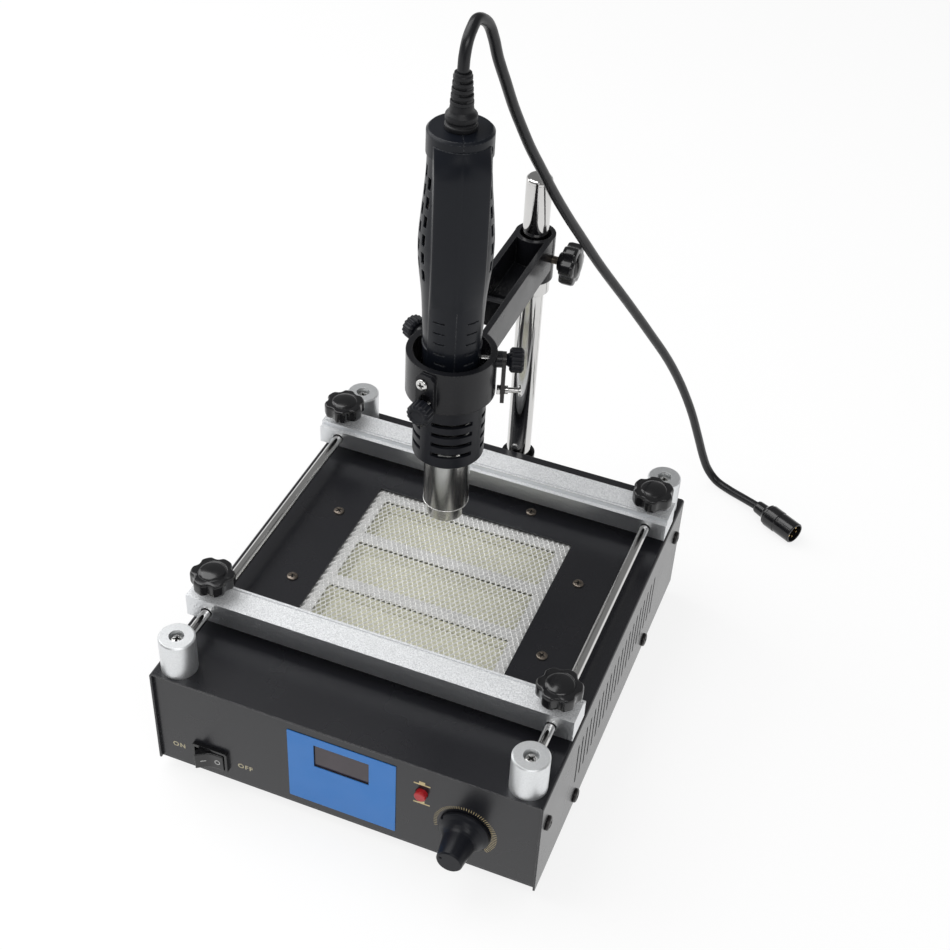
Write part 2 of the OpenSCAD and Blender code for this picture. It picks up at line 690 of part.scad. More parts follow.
module wall_solid(inset, cut) {
  rotate_extrude() polygon(concat([[0, g(handle_wall[0][1]) + cut]],
    [for (p = handle_wall) [p[0] - inset, g(p[1]) + (p[1] == handle_wall[0][1] ? cut : 0)]],
    [[handle_wall[0][0] + 0.6 - inset, g(cap_l - (cut < 0 ? shell_t : 0))], [0, g(cap_l - (cut < 0 ? shell_t : 0))]]));
}

module handle_body() {
  difference() {
    union() {
      rotate_extrude() polygon(concat([[0, g(211)]], [for (p = handle_wall) [p[0], g(p[1])]],
        [[15.9, g(cap_l)], [0, g(cap_l)]]));
      intersection() {
        translate([-14, -40, g(200)]) cube([28, 80, 180]);
        rotate_extrude() polygon(concat([[0, g(211)]], [for (p = band_wall) [p[0], g(p[1])]], [[0, g(353)]]));
      }
    }
    rotate_extrude() polygon(concat([[0, g(210)], [handle_wall[0][0] - shell_t, g(210)]],
      [for (p = handle_wall) if (p[1] < 366) [p[0] - shell_t, g(p[1])]],
      [[15.1, g(cap_l) - shell_t], [0, g(cap_l) - shell_t]]));
    for (s = [-1, 1]) intersection() {
      translate([s > 0 ? 14.2 : -34.2, -20, g(242)]) cube([20, 40, 114]);
      difference() {
        translate([0, 0, g(240)]) cylinder(r = 30, h = 118);
        rotate_extrude() polygon(concat([[0, g(239)]], [for (p = handle_wall) if (p[1] > 237) [p[0] - 0.7, g(p[1])]],
          [[0, g(367.8)]]));
      }
    }
    for (s = [0, 180]) for (c = [0 : 3]) for (k = [0 : 5])
      rotate([0, 0, s + (c - 1.5) * 17]) translate([16, 0, g(347 - k * 10.5 - (c % 2) * 5.2)]) cube([16, 3, 6.6], center = true);
    for (l = [236, 243, 250, 257, 264]) for (s = [-1, 1]) translate([0, 0, g(l)]) rotate([0, 0, -90 + s * 30 - 11])
      rotate_extrude(angle = 22) translate([wall_r(l) - 0.4, 0]) square([2, 0.8]);
    translate([0, 0, g(cap_l) - 10]) cylinder(r = 4.7, h = 20);
  }
}

// Radius of the handle's wall at level l
function wall_r(l) = lookup(l, [for (p = handle_wall) [p[1], p[0]]]);

boss = [[-10, 361], [10, 361], [11, 268]];

module handle_half(s) {
  intersection() {
    translate([s > 0 ? e : -40, -40, g(205)]) cube([40 - e, 80, 180]);
    difference() {
      union() {
        handle_body();
        intersection() {
          for (b = boss) translate([-30, b[0], g(b[1])]) rotate([0, 90, 0]) cylinder(r = 3.4, h = 60);
          rotate_extrude() polygon(concat([[0, g(211)]], [for (p = handle_wall) [p[0] - 1, g(p[1])]],
            [[15.9, g(cap_l) - 1], [0, g(cap_l) - 1]]));
        }
      }
      for (b = boss) {
        translate([-6, b[0], g(b[1])]) rotate([0, 90, 0]) cylinder(r = 1.3, h = 40);
        translate([8, b[0], g(b[1])]) rotate([0, 90, 0]) cylinder(r = 2.6, h = 40);
      }
    }
  }
}

module handle_shell_left() {
  color("black") in_gun() handle_half(-1);
}

module handle_shell_right() {
  color("black") in_gun() handle_half(1);
}

module handle_screws() {
  color("silver") in_gun() for (b = boss) translate([8, b[0], g(b[1])]) rotate([0, 90, 0]) pan_screw(2.3, 1.6, 1.2, 13);
}

module nozzle_guard() {
  color("black") in_gun() difference() {
    rotate_extrude() polygon([[15.45, g(214)], [15.45, g(218)], [guard_r - 0.6, g(218)], [guard_r, g(217.4)],
      [guard_r, g(169)], [guard_r - 1, g(168)], [tube_d / 2 + 0.05, g(168)], [tube_d / 2 + 0.05, g(170)],
      [guard_r - 1.8, g(170)], [guard_r - 1.8, g(214)]]);
    for (l = [176, 183, 190, 197]) for (k = [0 : 3]) rotate([0, 0, -90 + 90 * k - 34])
      translate([0, 0, g(l)]) rotate_extrude(angle = 68) translate([guard_r - 3, 0]) square([5, 2.7]);
    for (k = [0 : 3]) rotate([0, 0, 90 * k - 34]) translate([0, 0, g(165)]) rotate_extrude(angle = 68)
      translate([tube_d / 2 + 1.2, 0]) square([guard_r - tube_d / 2 - 3.8, 8]);
  }
}

module nozzle_tube() {
  r = tube_d / 2;
  l = lip_d / 2;
  color("silver") in_gun() rotate_extrude() polygon([[l - 0.8, g(lip_l)], [l, g(lip_l)], [l, g(lip_l + lip_h)],
    [r - 0.5, g(lip_l + lip_h + 0.3)], [r, g(lip_l + lip_h + 1)], [r, g(209)], [15, g(209)], [15, g(211)],
    [r - 0.8, g(211)], [r - 0.8, g(lip_l + lip_h + 1.2)], [l - 0.8, g(lip_l + lip_h + 1.2)]]);
}

module heating_element() {
  r = tube_d / 2 - 0.85;
  color("beige") in_gun() union() {
    ring_of(r, r - 1, g(150), g(208));
    for (k = [0 : 2]) rotate([0, 0, 60 * k]) box(-r + 0.5, r - 0.5, -0.8, 0.8, g(150), g(206));
    translate([0, 0, g(148)]) cylinder(r = 3.2, h = 60);
    for (k = [0 : 7]) ring_of(9, 7.6, g(152 + 7 * k), g(153.6 + 7 * k));
  }
}

module blower_motor() {
  color("silver") in_gun() difference() {
    union() {
      translate([0, 0, g(320)]) cylinder(r = 11, h = 27);
      translate([0, 0, g(320)]) cylinder(r = 17, h = 1.6);
      translate([0, 0, g(347)]) cylinder(r = 4, h = 2);
    }
    translate([0, 0, g(310)]) cylinder(r = 1.05, h = 30);
    for (k = [0 : 5]) rotate([0, 0, 60 * k + 30]) translate([14, 0, g(319)]) cylinder(r = 2.2, h = 4);
  }
}

module blower_rotor() {
  color("dimgray") in_gun() union() {
    translate([0, 0, g(301)]) cylinder(r = 1, h = 36);
    translate([0, 0, g(301)]) cylinder(r = 3.4, h = 17);
    translate([0, 0, g(301)]) cylinder(r = 14.5, h = 1.2);
    for (k = [0 : 11]) rotate([0, 0, 30 * k]) translate([9, 0, g(308.5)]) rotate([0, 0, 25]) cube([10, 1, 15], center = true);
    ring_of(14.5, 12, g(315), g(316.5));
  }
}

module strain_relief() {
  color("black") translate([0, ring_y, 0]) rotate_extrude() polygon([[cord_d / 2 + 0.05, g(365.4)], [6.2, g(365.4)],
    [6.2, g(366.8)], [4.6, g(366.8)], [4.6, g(369)], [8.35, g(369)], [8.35, g(371.2)], [7.6, g(371.8)],
    [7.6, g(373.4)], [8, g(374)], [8, g(376.4)], [5.9, g(379)], [5.7, g(382)], [6, g(382.4)], [6, g(384)],
    [5.4, g(384.4)], [5.3, g(386.6)], [5.7, g(387)], [5.7, g(388.6)], [5.1, g(389)], [5, g(391)],
    [5.3, g(391.4)], [5.3, g(393)], [4.7, g(393.4)], [4.6, g(395)], [4.9, g(395.4)], [4.9, g(397.6)],
    [4.4, g(398)], [cord_d / 2 + 0.05, g(398)]]);
}

// Cord
function unit(v) = v / norm(v);

function side_of(d) = unit(cross(d, [0.94, -0.34, 0.05]));

function way(i) = unit(route[min(i + 1, len(route) - 1)] - route[max(i - 1, 0)]);

module cord() {
  n = len(route);
  m = cord_sides;
  lift = arm_top - 244.5;
  pts = [for (i = [0 : n - 1]) let (d = i == 0 ? [0, 0, 1] : way(i), a = side_of(d), b = cross(d, a))
    for (k = [0 : m - 1]) route[i] + [0, ring_y - 11, i < 14 ? lift : 0] + cord_d / 2 * (a * cos(360 * k / m) + b * sin(360 * k / m))];
  faces = concat([[for (k = [m - 1 : -1 : 0]) k]],
    [for (i = [0 : n - 2]) for (k = [0 : m - 1]) [i * m + k, i * m + (k + 1) % m, (i + 1) * m + (k + 1) % m, (i + 1) * m + k]],
    [[for (k = [0 : m - 1]) (n - 1) * m + k]]);
  color("black") polyhedron(points = pts, faces = [for (q = faces) [for (k = [len(q) - 1 : -1 : 0]) q[k]]]);
}

module on_plug() {
  translate([0, ring_y - 11, 0]) translate(plug_p) rotate([0, 0, plug_a]) rotate([0, 90, 0]) children();
}

module connector_shell() {
  color("dimgray") on_plug() rotate_extrude() polygon([[0, 0], [4.2, 0], [4.6, 1], [5, 8], [6.8, 10], [7.4, 10.5],
    [7.4, 12], [8, 12.6], [8, 21], [7.4, 21.6], [7.4, 22.4], [7.7, 22.8], [7.7, 35.4], [7.2, 36], [6.4, 36],
    [6.4, 26], [0, 26]]);
}

module connector_pins() {
  color("gold") on_plug() union() {
    translate([0, 0, 26]) cylinder(r = 6.3, h = 3);
    for (k = [0 : 4]) rotate([0, 0, 72 * k]) translate([3.8, 0, 26]) cylinder(r = 0.6, h = 8.5);
  }
}

// Controls
module display_overlay() {
  color("steelblue") front_at(0, foot_h + 34.75, -face_y) linear_extrude(0.4) difference() {
    rrect(66, 56.5, 0.6);
    translate([0, 13.25]) square([win_w, win_z1 - win_z0], center = true);
  }
}

module display_window() {
  color("darkslategray") front_at(0, (win_z0 + win_z1) / 2, -face_y + 2.4) linear_extrude(1.8)
    square([win_w - 0.4, win_z1 - win_z0 - 0.4], center = true);
}

module display_module() {
  color("black") box(-17, 17, -face_y + 2.4, pcb_y, win_z0 + 0.5, win_z1 - 0.5);
}

module rocker_frame() {
  color("black") front_at(rocker_x, rocker_z, -face_y) union() {
    difference() {
      union() {
        linear_extrude(2.2) rrect(22.5, 16.5, 1.6);
        translate([0, 0, -13]) linear_extrude(13.5) square([19.8, 13.8], center = true);
      }
      translate([0, 0, -9]) linear_extrude(20) square([19.2, 12.4], center = true);
      translate([0, 0, 1.1]) rotate([90, 0, 0]) cylinder(r = 0.85, h = 14.4, center = true);
    }
    for (x = [-7, 0, 7]) translate([x - 0.4, -3, -21]) cube([0.8, 6, 9]);
  }
}

module rocker() {
  color("black") translate([rocker_x, -face_y - 1.1, rocker_z]) rotate([0, 0, rocker_tilt]) union() {
    translate([0, 0, -5.9]) linear_extrude(11.8) polygon(concat([for (k = [-6 : 6]) [k * 8.3 / 6,
      -2.6 - 2 * (norm([k / 6, 0.25]) - 0.25) / (norm([1, 0.25]) - 0.25)]], [[8.3, -0.5], [3.5, 6], [-3.5, 6],
      [-8.3, -0.5]]));
    translate([0, 0, -7]) cylinder(r = 0.7, h = 14);
  }
}

module button_body() {
  color("black") front_at(button_x, button_z, pcb_y) difference() {
    translate([0, 0, 0]) cylinder(r = 6.6, h = pcb_y + back_y);
    translate([0, 0, pcb_y + back_y - 6]) cylinder(r = button_d / 2 + 1.5 + touch, h = 10);
    translate([0, 0, pcb_y + back_y - 11]) cylinder(r = button_d / 2 + touch, h = 10);
  }
}

module push_button() {
  r = button_d / 2;
  color("red") front_at(button_x, button_z, -back_y) rotate_extrude() polygon([[0, -8.5], [r, -8.5], [r, -2], [r + 1.5, -2],
    [r + 1.5, -0.2], [r, -0.2], [r, sheet + 3], [r - 0.6, sheet + 3.5], [0, sheet + 3.5]]);
}

module dial_potentiometer() {
  color("silver") front_at(dial_x, dial_z, -back_y) difference() {
    union() {
      translate([0, 0, back_y + pcb_y > 0 ? -(back_y + pcb_y) : -10]) cylinder(r = 8.2, h = back_y + pcb_y);
      cylinder(r = 3.4, h = sheet + 4.5);
      translate([0, 0, sheet]) cylinder(r = 5, h = 2, $fn = 6);
    }
    translate([0, 0, -10]) cylinder(r = 1.8, h = 30);
  }
}

module dial_shaft() {
  color("silver") front_at(dial_x, dial_z, -back_y) translate([0, 0, -9.5]) cylinder(r = 1.73, h = 9.5 + sheet + 15);
}

module dial_knob() {
  r = dial_d / 2;
  h = dial_front - face_y;
  color("black") front_at(dial_x, dial_z, -face_y) difference() {
    rotate_extrude() polygon([[0, 0.5], [r - 0.4, 0.5], [r, 1], [r, 2.4], [r - 0.8, 3.2], [r - 2.4, 4.4],
      [r - 4, 6.2], [r - 5, 8], [9.4, 9.6], [9.1, 11.5], [7.6, h - 0.8], [6.9, h], [0, h]]);
    translate([0, 0, -1]) cylinder(r = 6, h = 6);
    translate([0, 0, 4]) cylinder(r = 1.75, h = 12);
    rotate([0, 0, 160]) translate([5.2, 0, h - 0.6]) cylinder(r1 = 0.6, r2 = 1.2, h = 1);
    for (a = [150, -30]) rotate([0, 0, a]) translate([r + 0.2, 0, -1]) cylinder(r = 1.3, h = 12);
  }
}

module control_board() {
  color("green") difference() {
    box(-27, 96, pcb_y, pcb_y + 1.6, foot_h + 12, foot_h + 66);
    for (p = [[-22, 26], [-22, 68], [90, 24], [90, 64]])
      translate([p[0], pcb_y - 1, p[1] - 8 + foot_h]) rotate([-90, 0, 0]) cylinder(r = 1.6, h = 4);
  }
}

module mains_inlet() {
  color("black") rear_at(inlet_x, inlet_z, face_y) union() {
    difference() {
      union() {
        linear_extrude(2.6) rrect(31, 24.5, 2);
        translate([0, 0, -20]) linear_extrude(20.5) square([27, 20], center = true);
      }
      translate([0, 0, -14]) linear_extrude(20) polygon([[-12, -8], [12, -8], [12, 3.5], [7.5, 8], [-7.5, 8], [-12, 3.5]]);
    }
    for (p = [[-7, -1.5], [0, 2.5], [7, -1.5]]) translate([p[0] - 1, p[1] - 2, -30]) cube([2, 4, 28]);
  }
}

base_pan();
top_cover();
front_panel();
rear_panel();
rubber_feet();
cover_screws();
reflector_tray();
insulation_board();
heater_tiles();
mesh_frame();
mesh_guard();
tray_screws();
corner_posts();
post_screws();
guide_rods();
mast_bracket();
bracket_screws();
mast();
mast_screw();
mast_cap();
display_overlay();
display_window();
display_module();
rocker_frame();
rocker();
button_body();
push_button();
dial_potentiometer();
dial_shaft();
dial_knob();
control_board();
mains_inlet();
clamp_bar_front();
clamp_bar_rear();
clamp_knob_front_left();
clamp_knob_front_right();
clamp_knob_rear_left();
clamp_knob_rear_right();
stop_ring();
stop_ring_screw();
support_arm();
arm_knob();
ring_knob_right();
ring_knob_left();
ring_knob_front();
holder_screw();
side_strip();
side_strip_screw();
handle_shell_left();
handle_shell_right();
handle_screws();
nozzle_guard();
nozzle_tube();
heating_element();
blower_motor();
blower_rotor();
strain_relief();
cord();
connector_shell();
connector_pins();
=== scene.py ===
import json
import math
import bmesh
import bpy
from mathutils import Matrix, Vector


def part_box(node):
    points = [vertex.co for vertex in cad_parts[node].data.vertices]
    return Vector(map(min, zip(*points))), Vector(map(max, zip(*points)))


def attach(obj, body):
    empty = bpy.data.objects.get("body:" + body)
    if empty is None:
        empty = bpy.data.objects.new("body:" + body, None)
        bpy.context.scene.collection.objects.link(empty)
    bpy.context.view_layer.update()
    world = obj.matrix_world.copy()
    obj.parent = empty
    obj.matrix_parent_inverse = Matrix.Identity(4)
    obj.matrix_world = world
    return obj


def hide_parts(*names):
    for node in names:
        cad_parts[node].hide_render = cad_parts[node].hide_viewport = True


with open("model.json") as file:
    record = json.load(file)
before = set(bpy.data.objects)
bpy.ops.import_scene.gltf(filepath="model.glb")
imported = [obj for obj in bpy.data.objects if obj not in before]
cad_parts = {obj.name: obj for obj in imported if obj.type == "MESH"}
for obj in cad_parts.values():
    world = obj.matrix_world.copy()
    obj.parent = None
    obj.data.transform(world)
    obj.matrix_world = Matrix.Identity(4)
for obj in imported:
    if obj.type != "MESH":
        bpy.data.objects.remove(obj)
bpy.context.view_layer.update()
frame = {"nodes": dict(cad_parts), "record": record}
NODES = frame["nodes"]
scene = bpy.context.scene

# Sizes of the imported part, in metres, read from the frame


def low(n):
    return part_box(n)[0]


def high(n):
    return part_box(n)[1]


def mid(n):
    a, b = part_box(n)
    return (a + b) / 2


TOP = high("top_cover").z
FACE = low("front_panel").y
MM = 0.001

# Camera

AZ, EL, ROLL = math.radians(19.582), math.radians(40.248), math.radians(3.264)
EYE = (0.2449, -0.6285, 0.7359)
LENS, SENSOR = 58.83, 36
fw = Vector((-math.sin(AZ) * math.cos(EL), math.cos(AZ) * math.cos(EL), -math.sin(EL)))
right = Vector((math.cos(AZ), math.sin(AZ), 0))
up = right.cross(fw)
r_ax = right * math.cos(ROLL) + up * math.sin(ROLL)
u_ax = -right * math.sin(ROLL) + up * math.cos(ROLL)
cam_data = bpy.data.cameras.new("camera")
cam = bpy.data.objects.new("camera", cam_data)
scene.collection.objects.link(cam)
cam_data.sensor_width = SENSOR
cam_data.sensor_height = SENSOR
cam_data.lens = LENS
cam_data.clip_start = 0.01
cam_data.clip_end = 20
m = Matrix.Identity(4)
for i in range(3):
    m[i][0], m[i][1], m[i][2] = r_ax[i], u_ax[i], -fw[i]
m[0][3], m[1][3], m[2][3] = EYE
cam.matrix_world = m
scene.camera = cam
scene.view_settings.view_transform = "Standard"

# Mesh helpers


def obj_from(name, verts, faces, mat, body, smooth=None):
    me = bpy.data.meshes.new(name)
    me.from_pydata([tuple(v) for v in verts], [], faces)
    me.validate()
    ob = bpy.data.objects.new(name, me)
    scene.collection.objects.link(ob)
    if mat:
        me.materials.append(mat)
    bm = bmesh.new()
    bm.from_mesh(me)
    bmesh.ops.recalc_face_normals(bm, faces=bm.faces)
    bm.to_mesh(me)
    bm.free()
    if smooth is not None:
        soften(ob, smooth)
    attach(ob, body)
    return ob


def soften(ob, angle=35):
    me = ob.data
    me.polygons.foreach_set("use_smooth", [True] * len(me.polygons))
    me.set_sharp_from_angle(angle=math.radians(angle))


def bevel(ob, width, segs=2, angle=40):
    b = ob.modifiers.new("bevel", "BEVEL")
    b.width = width
    b.segments = segs
    b.limit_method = "ANGLE"
    b.angle_limit = math.radians(angle)
    b.harden_normals = False
    return ob


def frame_along(p, z_dir, x_hint=(0, 0, 1)):
    """A placing matrix at p whose z runs along z_dir and whose x leans to x_hint"""
    z = Vector(z_dir).normalized()
    x = Vector(x_hint)
    x = (x - z * x.dot(z))
    if x.length < 1e-6:
        x = Vector((1, 0, 0)) - z * z.x
    x.normalize()
    y = z.cross(x)
    mt = Matrix.Identity(4)
    for i in range(3):
        mt[i][0], mt[i][1], mt[i][2], mt[i][3] = x[i], y[i], z[i], p[i]
    return mt


# Materials


def new_mat(name):
    mt = bpy.data.materials.new(name)
    mt.use_nodes = True
    nt = mt.node_tree
    nt.nodes.clear()
    out = nt.nodes.new("ShaderNodeOutputMaterial")
    bs = nt.nodes.new("ShaderNodeBsdfPrincipled")
    nt.links.new(bs.outputs[0], out.inputs[0])
    return mt, nt, bs


def noise(nt, scale, detail=2, rough=0.5, coord=None, stretch=None):
    tex = nt.nodes.new("ShaderNodeTexNoise")
    tex.inputs["Scale"].default_value = scale
    tex.inputs["Detail"].default_value = detail
    tex.inputs["Roughness"].default_value = rough
    if coord is None:
        coord = nt.nodes.new("ShaderNodeTexCoord").outputs["Object"]
    if stretch:
        mp = nt.nodes.new("ShaderNodeMapping")
        mp.inputs["Scale"].default_value = stretch
        nt.links.new(coord, mp.inputs[0])
        coord = mp.outputs[0]
    nt.links.new(coord, tex.inputs[0])
    return tex.outputs[0]


def ramp(nt, fac, stops):
    r = nt.nodes.new("ShaderNodeValToRGB")
    nt.links.new(fac, r.inputs[0])
    el = r.color_ramp.elements
    el[0].position, el[0].color = stops[0][0], (*stops[0][1], 1)
    el[1].position, el[1].color = stops[-1][0], (*stops[-1][1], 1)
    for p, c in stops[1:-1]:
        e = el.new(p)
        e.color = (*c, 1)
    return r.outputs[0]


def span(nt, fac, a, b, lo_in=0.0, hi_in=1.0):
    mr = nt.nodes.new("ShaderNodeMapRange")
    mr.inputs[1].default_value, mr.inputs[2].default_value = lo_in, hi_in
    mr.inputs[3].default_value, mr.inputs[4].default_value = a, b
    nt.links.new(fac, mr.inputs[0])
    return mr.outputs[0]


def surface(name, color, rough, metal=0.0, spec=0.5, dark=None, mottle=40, grain=None, edge=0.0, wear_and_edge_highlight=None,
            rough_var=0.08, coat=0.0, smear=None):
    """color and dark are linear colours between which a broad noise moves; grain is a list of
    (scale, strength, distance) bumps; edge rounds every corner by that radius in metres; the edge
    colour is painted along convex edges, partly as wear and partly as a painted edge highlight."""
    mt, nt, bs = new_mat(name)
    bs.inputs["Metallic"].default_value = metal
    bs.inputs["Specular IOR Level"].default_value = spec
    bs.inputs["IOR"].default_value = 1.5
    bs.inputs["Coat Weight"].default_value = coat
    bs.inputs["Coat Roughness"].default_value = 0.1
    n1 = noise(nt, mottle, 4, 0.6, stretch=smear)
    dark = dark or tuple(c * 0.86 for c in color)
    col = ramp(nt, n1, [(0.35, dark), (0.65, color)])
    normal = None
    if edge:
        bv = nt.nodes.new("ShaderNodeBevel")
        bv.samples = 4
        bv.inputs["Radius"].default_value = edge
        normal = bv.outputs[0]
        # The edge colour is painted on convex edges, partly as wear and partly as a painted edge highlight
        if wear_and_edge_highlight:
            geo = nt.nodes.new("ShaderNodeNewGeometry")
            dot = nt.nodes.new("ShaderNodeVectorMath")
            dot.operation = "DOT_PRODUCT"
            nt.links.new(bv.outputs[0], dot.inputs[0])
            nt.links.new(geo.outputs["Normal"], dot.inputs[1])
            edge_fac = span(nt, dot.outputs["Value"], 1.0, 0.0, 0.80, 0.985)
            edge_breakup = span(nt, noise(nt, 900, 3, 0.7), 0.0, 1.0, 0.42, 0.62)
            mul = nt.nodes.new("ShaderNodeMath")
            mul.operation = "MULTIPLY"
            nt.links.new(edge_fac, mul.inputs[0])
            nt.links.new(edge_breakup, mul.inputs[1])
            mx = nt.nodes.new("ShaderNodeMix")
            mx.data_type = "RGBA"
            nt.links.new(mul.outputs[0], mx.inputs[0])
            nt.links.new(col, mx.inputs[6])
            mx.inputs[7].default_value = (*wear_and_edge_highlight, 1)
            col = mx.outputs[2]
    nt.links.new(col, bs.inputs["Base Color"])
    n2 = noise(nt, mottle * 2.7, 3, 0.55, stretch=smear)
    low_rough, high_rough = max(rough - rough_var, 0.02), min(rough + rough_var, 1.0)
    nt.links.new(span(nt, n2, low_rough, high_rough, 0.3, 0.7), bs.inputs["Roughness"])
    for scale, strength, dist in (grain or []):
        bp = nt.nodes.new("ShaderNodeBump")
        bp.inputs["Strength"].default_value = strength
        bp.inputs["Distance"].default_value = dist
        nt.links.new(noise(nt, scale, 2, 0.5), bp.inputs["Height"])
        if normal is not None:
            nt.links.new(normal, bp.inputs["Normal"])
        normal = bp.outputs[0]
    if normal is not None:
        nt.links.new(normal, bs.inputs["Normal"])
    return mt


M = {}
# The edge colours given below paint lighter convex edges, partly as wear and partly as a painted edge highlight
M["coat"] = surface("black_powder_coat", (0.0105, 0.0108, 0.0135), 0.27, spec=0.5, dark=(0.0100, 0.0102, 0.0127),
                    mottle=9, rough_var=0.012, grain=[(1700, 0.05, 0.0002)], edge=0.0006, wear_and_edge_highlight=(0.15, 0.15, 0.155))
M["plastic"] = surface("black_plastic", (0.0072, 0.008, 0.0115), 0.34, spec=0.22, dark=(0.0066, 0.0074, 0.0105),
                       mottle=30, rough_var=0.03, grain=[(2600, 0.16, 0.00012)], edge=0.0004)
M["gloss"] = surface("gloss_black_plastic", (0.009, 0.009, 0.010), 0.17, dark=(0.007, 0.007, 0.008), mottle=40,
                     grain=[(700, 0.03, 0.0001)], edge=0.0004, rough_var=0.05)
M["casting"] = surface("black_casting", (0.0085, 0.0088, 0.0108), 0.24, spec=0.28, dark=(0.0078, 0.008, 0.0098),
                       mottle=24, rough_var=0.04, grain=[(1500, 0.10, 0.0002), (300, 0.05, 0.0004)], edge=0.0007,
                       wear_and_edge_highlight=(0.06, 0.06, 0.06))
M["black_screw"] = surface("black_screw", (0.030, 0.028, 0.028), 0.35, metal=0.4, mottle=80,
                           grain=[(1500, 0.1, 0.0001)], edge=0.0003, wear_and_edge_highlight=(0.15, 0.13, 0.12))
M["rubber"] = surface("rubber", (0.0075, 0.0078, 0.0095), 0.42, spec=0.3, mottle=60,
                      grain=[(1800, 0.15, 0.0002)], edge=0.0005)
M["jacket"] = surface("cord_jacket", (0.0075, 0.0078, 0.0095), 0.33, spec=0.34, dark=(0.0065, 0.0068, 0.008), mottle=50,
                      grain=[(1400, 0.08, 0.0001), (180, 0.06, 0.0003)])
M["alu"] = surface("satin_aluminium", (0.80, 0.815, 0.825), 0.40, metal=0.9, dark=(0.73, 0.745, 0.755), mottle=900,
                   grain=[(3200, 0.25, 0.0002)], edge=0.0003, wear_and_edge_highlight=(0.97, 0.97, 0.97), rough_var=0.06)
M["chrome"] = surface("chrome", (0.66, 0.655, 0.645), 0.09, metal=1.0, dark=(0.60, 0.595, 0.585), mottle=20,
                      grain=[(160, 0.02, 0.0002)], edge=0.0003, rough_var=0.03)
M["tube"] = surface("brushed_tube", (0.60, 0.595, 0.575), 0.17, metal=1.0, dark=(0.52, 0.515, 0.49), mottle=60,
                    grain=[(900, 0.05, 0.0001)], edge=0.0002, rough_var=0.05, smear=(1, 1, 0.12))
M["steel"] = surface("plated_steel", (0.25, 0.215, 0.185), 0.34, metal=1.0, dark=(0.18, 0.155, 0.13), mottle=120,
                     grain=[(1500, 0.1, 0.0001)], edge=0.0003)
M["zinc"] = surface("zinc_screw", (0.62, 0.62, 0.61), 0.25, metal=1.0, dark=(0.5, 0.5, 0.49), mottle=120,
                    grain=[(1500, 0.1, 0.0001)], edge=0.0003)
M["mesh"] = surface("mesh_steel", (0.97, 0.97, 0.965), 0.34, metal=0.5, dark=(0.88, 0.88, 0.87), mottle=300,
                    grain=[(1500, 0.12, 0.0001)])
M["frame"] = surface("frame_steel", (0.66, 0.66, 0.65), 0.40, metal=0.5, dark=(0.56, 0.56, 0.55), mottle=60,
                     grain=[(1500, 0.12, 0.0001)], edge=0.0003)
M["ceramic"] = surface("ivory_ceramic", (0.57, 0.565, 0.44), 0.35, dark=(0.49, 0.485, 0.375), mottle=28,
                       grain=[(500, 0.08, 0.0004)], edge=0.0008, coat=0.2)
M["fibre"] = surface("insulation", (0.62, 0.60, 0.52), 0.95, spec=0.2, mottle=90, grain=[(700, 0.6, 0.0008)])
M["overlay"] = surface("blue_overlay", (0.017, 0.168, 0.51), 0.38, dark=(0.015, 0.160, 0.49), mottle=20,
                       grain=[(1500, 0.04, 0.0001)], edge=0.0002)
M["window"] = surface("smoked_window", (0.038, 0.027, 0.034), 0.12, dark=(0.031, 0.022, 0.028), mottle=60,
                      rough_var=0.03)
M["red"] = surface("red_plastic", (0.42, 0.017, 0.022), 0.28, dark=(0.36, 0.013, 0.018), mottle=60, edge=0.0004,
                   grain=[(900, 0.04, 0.0001)])
M["board"] = surface("circuit_board", (0.02, 0.12, 0.05), 0.35, mottle=60, grain=[(400, 0.1, 0.0002)])
M["brass"] = surface("brass", (0.72, 0.52, 0.22), 0.25, metal=1.0, mottle=100, edge=0.0002)
M["print"] = surface("gold_print", (0.60, 0.49, 0.27), 0.5, dark=(0.51, 0.41, 0.215), mottle=600)
M["letters"] = surface("grey_gold_print", (0.48, 0.43, 0.29), 0.5, dark=(0.41, 0.365, 0.245), mottle=600)
M["white_print"] = surface("white_print", (0.50, 0.50, 0.49), 0.5, mottle=600)
# Near-black painted shade: the crosses in the screw recesses and the strips along the windows' rear edges
M["recess"] = surface("painted_shade_black", (0.006, 0.0055, 0.0055), 0.7, spec=0.2, mottle=60)


def clamp_metal():
    """Lighter, rougher and less metallic on the faces that look up, darker and smoother on the others: a painted
    lighter top on one finish
    """
    mt = surface("clamp_aluminium", (0.88, 0.892, 0.905), 0.5, metal=0.4, dark=(0.56, 0.572, 0.585), mottle=1500,
                 grain=[(1000, 0.6, 0.0005)], edge=0.0003, rough_var=0.08)
    nt = mt.node_tree
    bs = next(nd for nd in nt.nodes if nd.type == "BSDF_PRINCIPLED")
    sp = nt.nodes.new("ShaderNodeSeparateXYZ")
    nt.links.new(nt.nodes.new("ShaderNodeTexCoord").outputs["Normal"], sp.inputs[0])
    # Upward faces get the lighter base as painted light on the bar tops, and the other faces the darker base as painted
    # shade
    fac = span(nt, sp.outputs[2], 0.0, 1.0, 0.5, 0.9)
    nt.links.new(span(nt, fac, 1.0, 0.4), bs.inputs["Metallic"])
    for sock, shaded_side in (("Base Color", (0.74, 0.755, 0.77, 1)), ("Roughness", 0.31)):
        was = bs.inputs[sock].links[0].from_socket
        mx = nt.nodes.new("ShaderNodeMix")
        colour = sock == "Base Color"
        mx.data_type = "RGBA" if colour else "FLOAT"
        a, b = (6, 7) if colour else (2, 3)
        mx.inputs[a].default_value = shaded_side
        nt.links.new(fac, mx.inputs[0])
        nt.links.new(was, mx.inputs[b])
        nt.links.new(mx.outputs[2 if colour else 0], bs.inputs[sock])
    return mt


M["bar"] = clamp_metal()
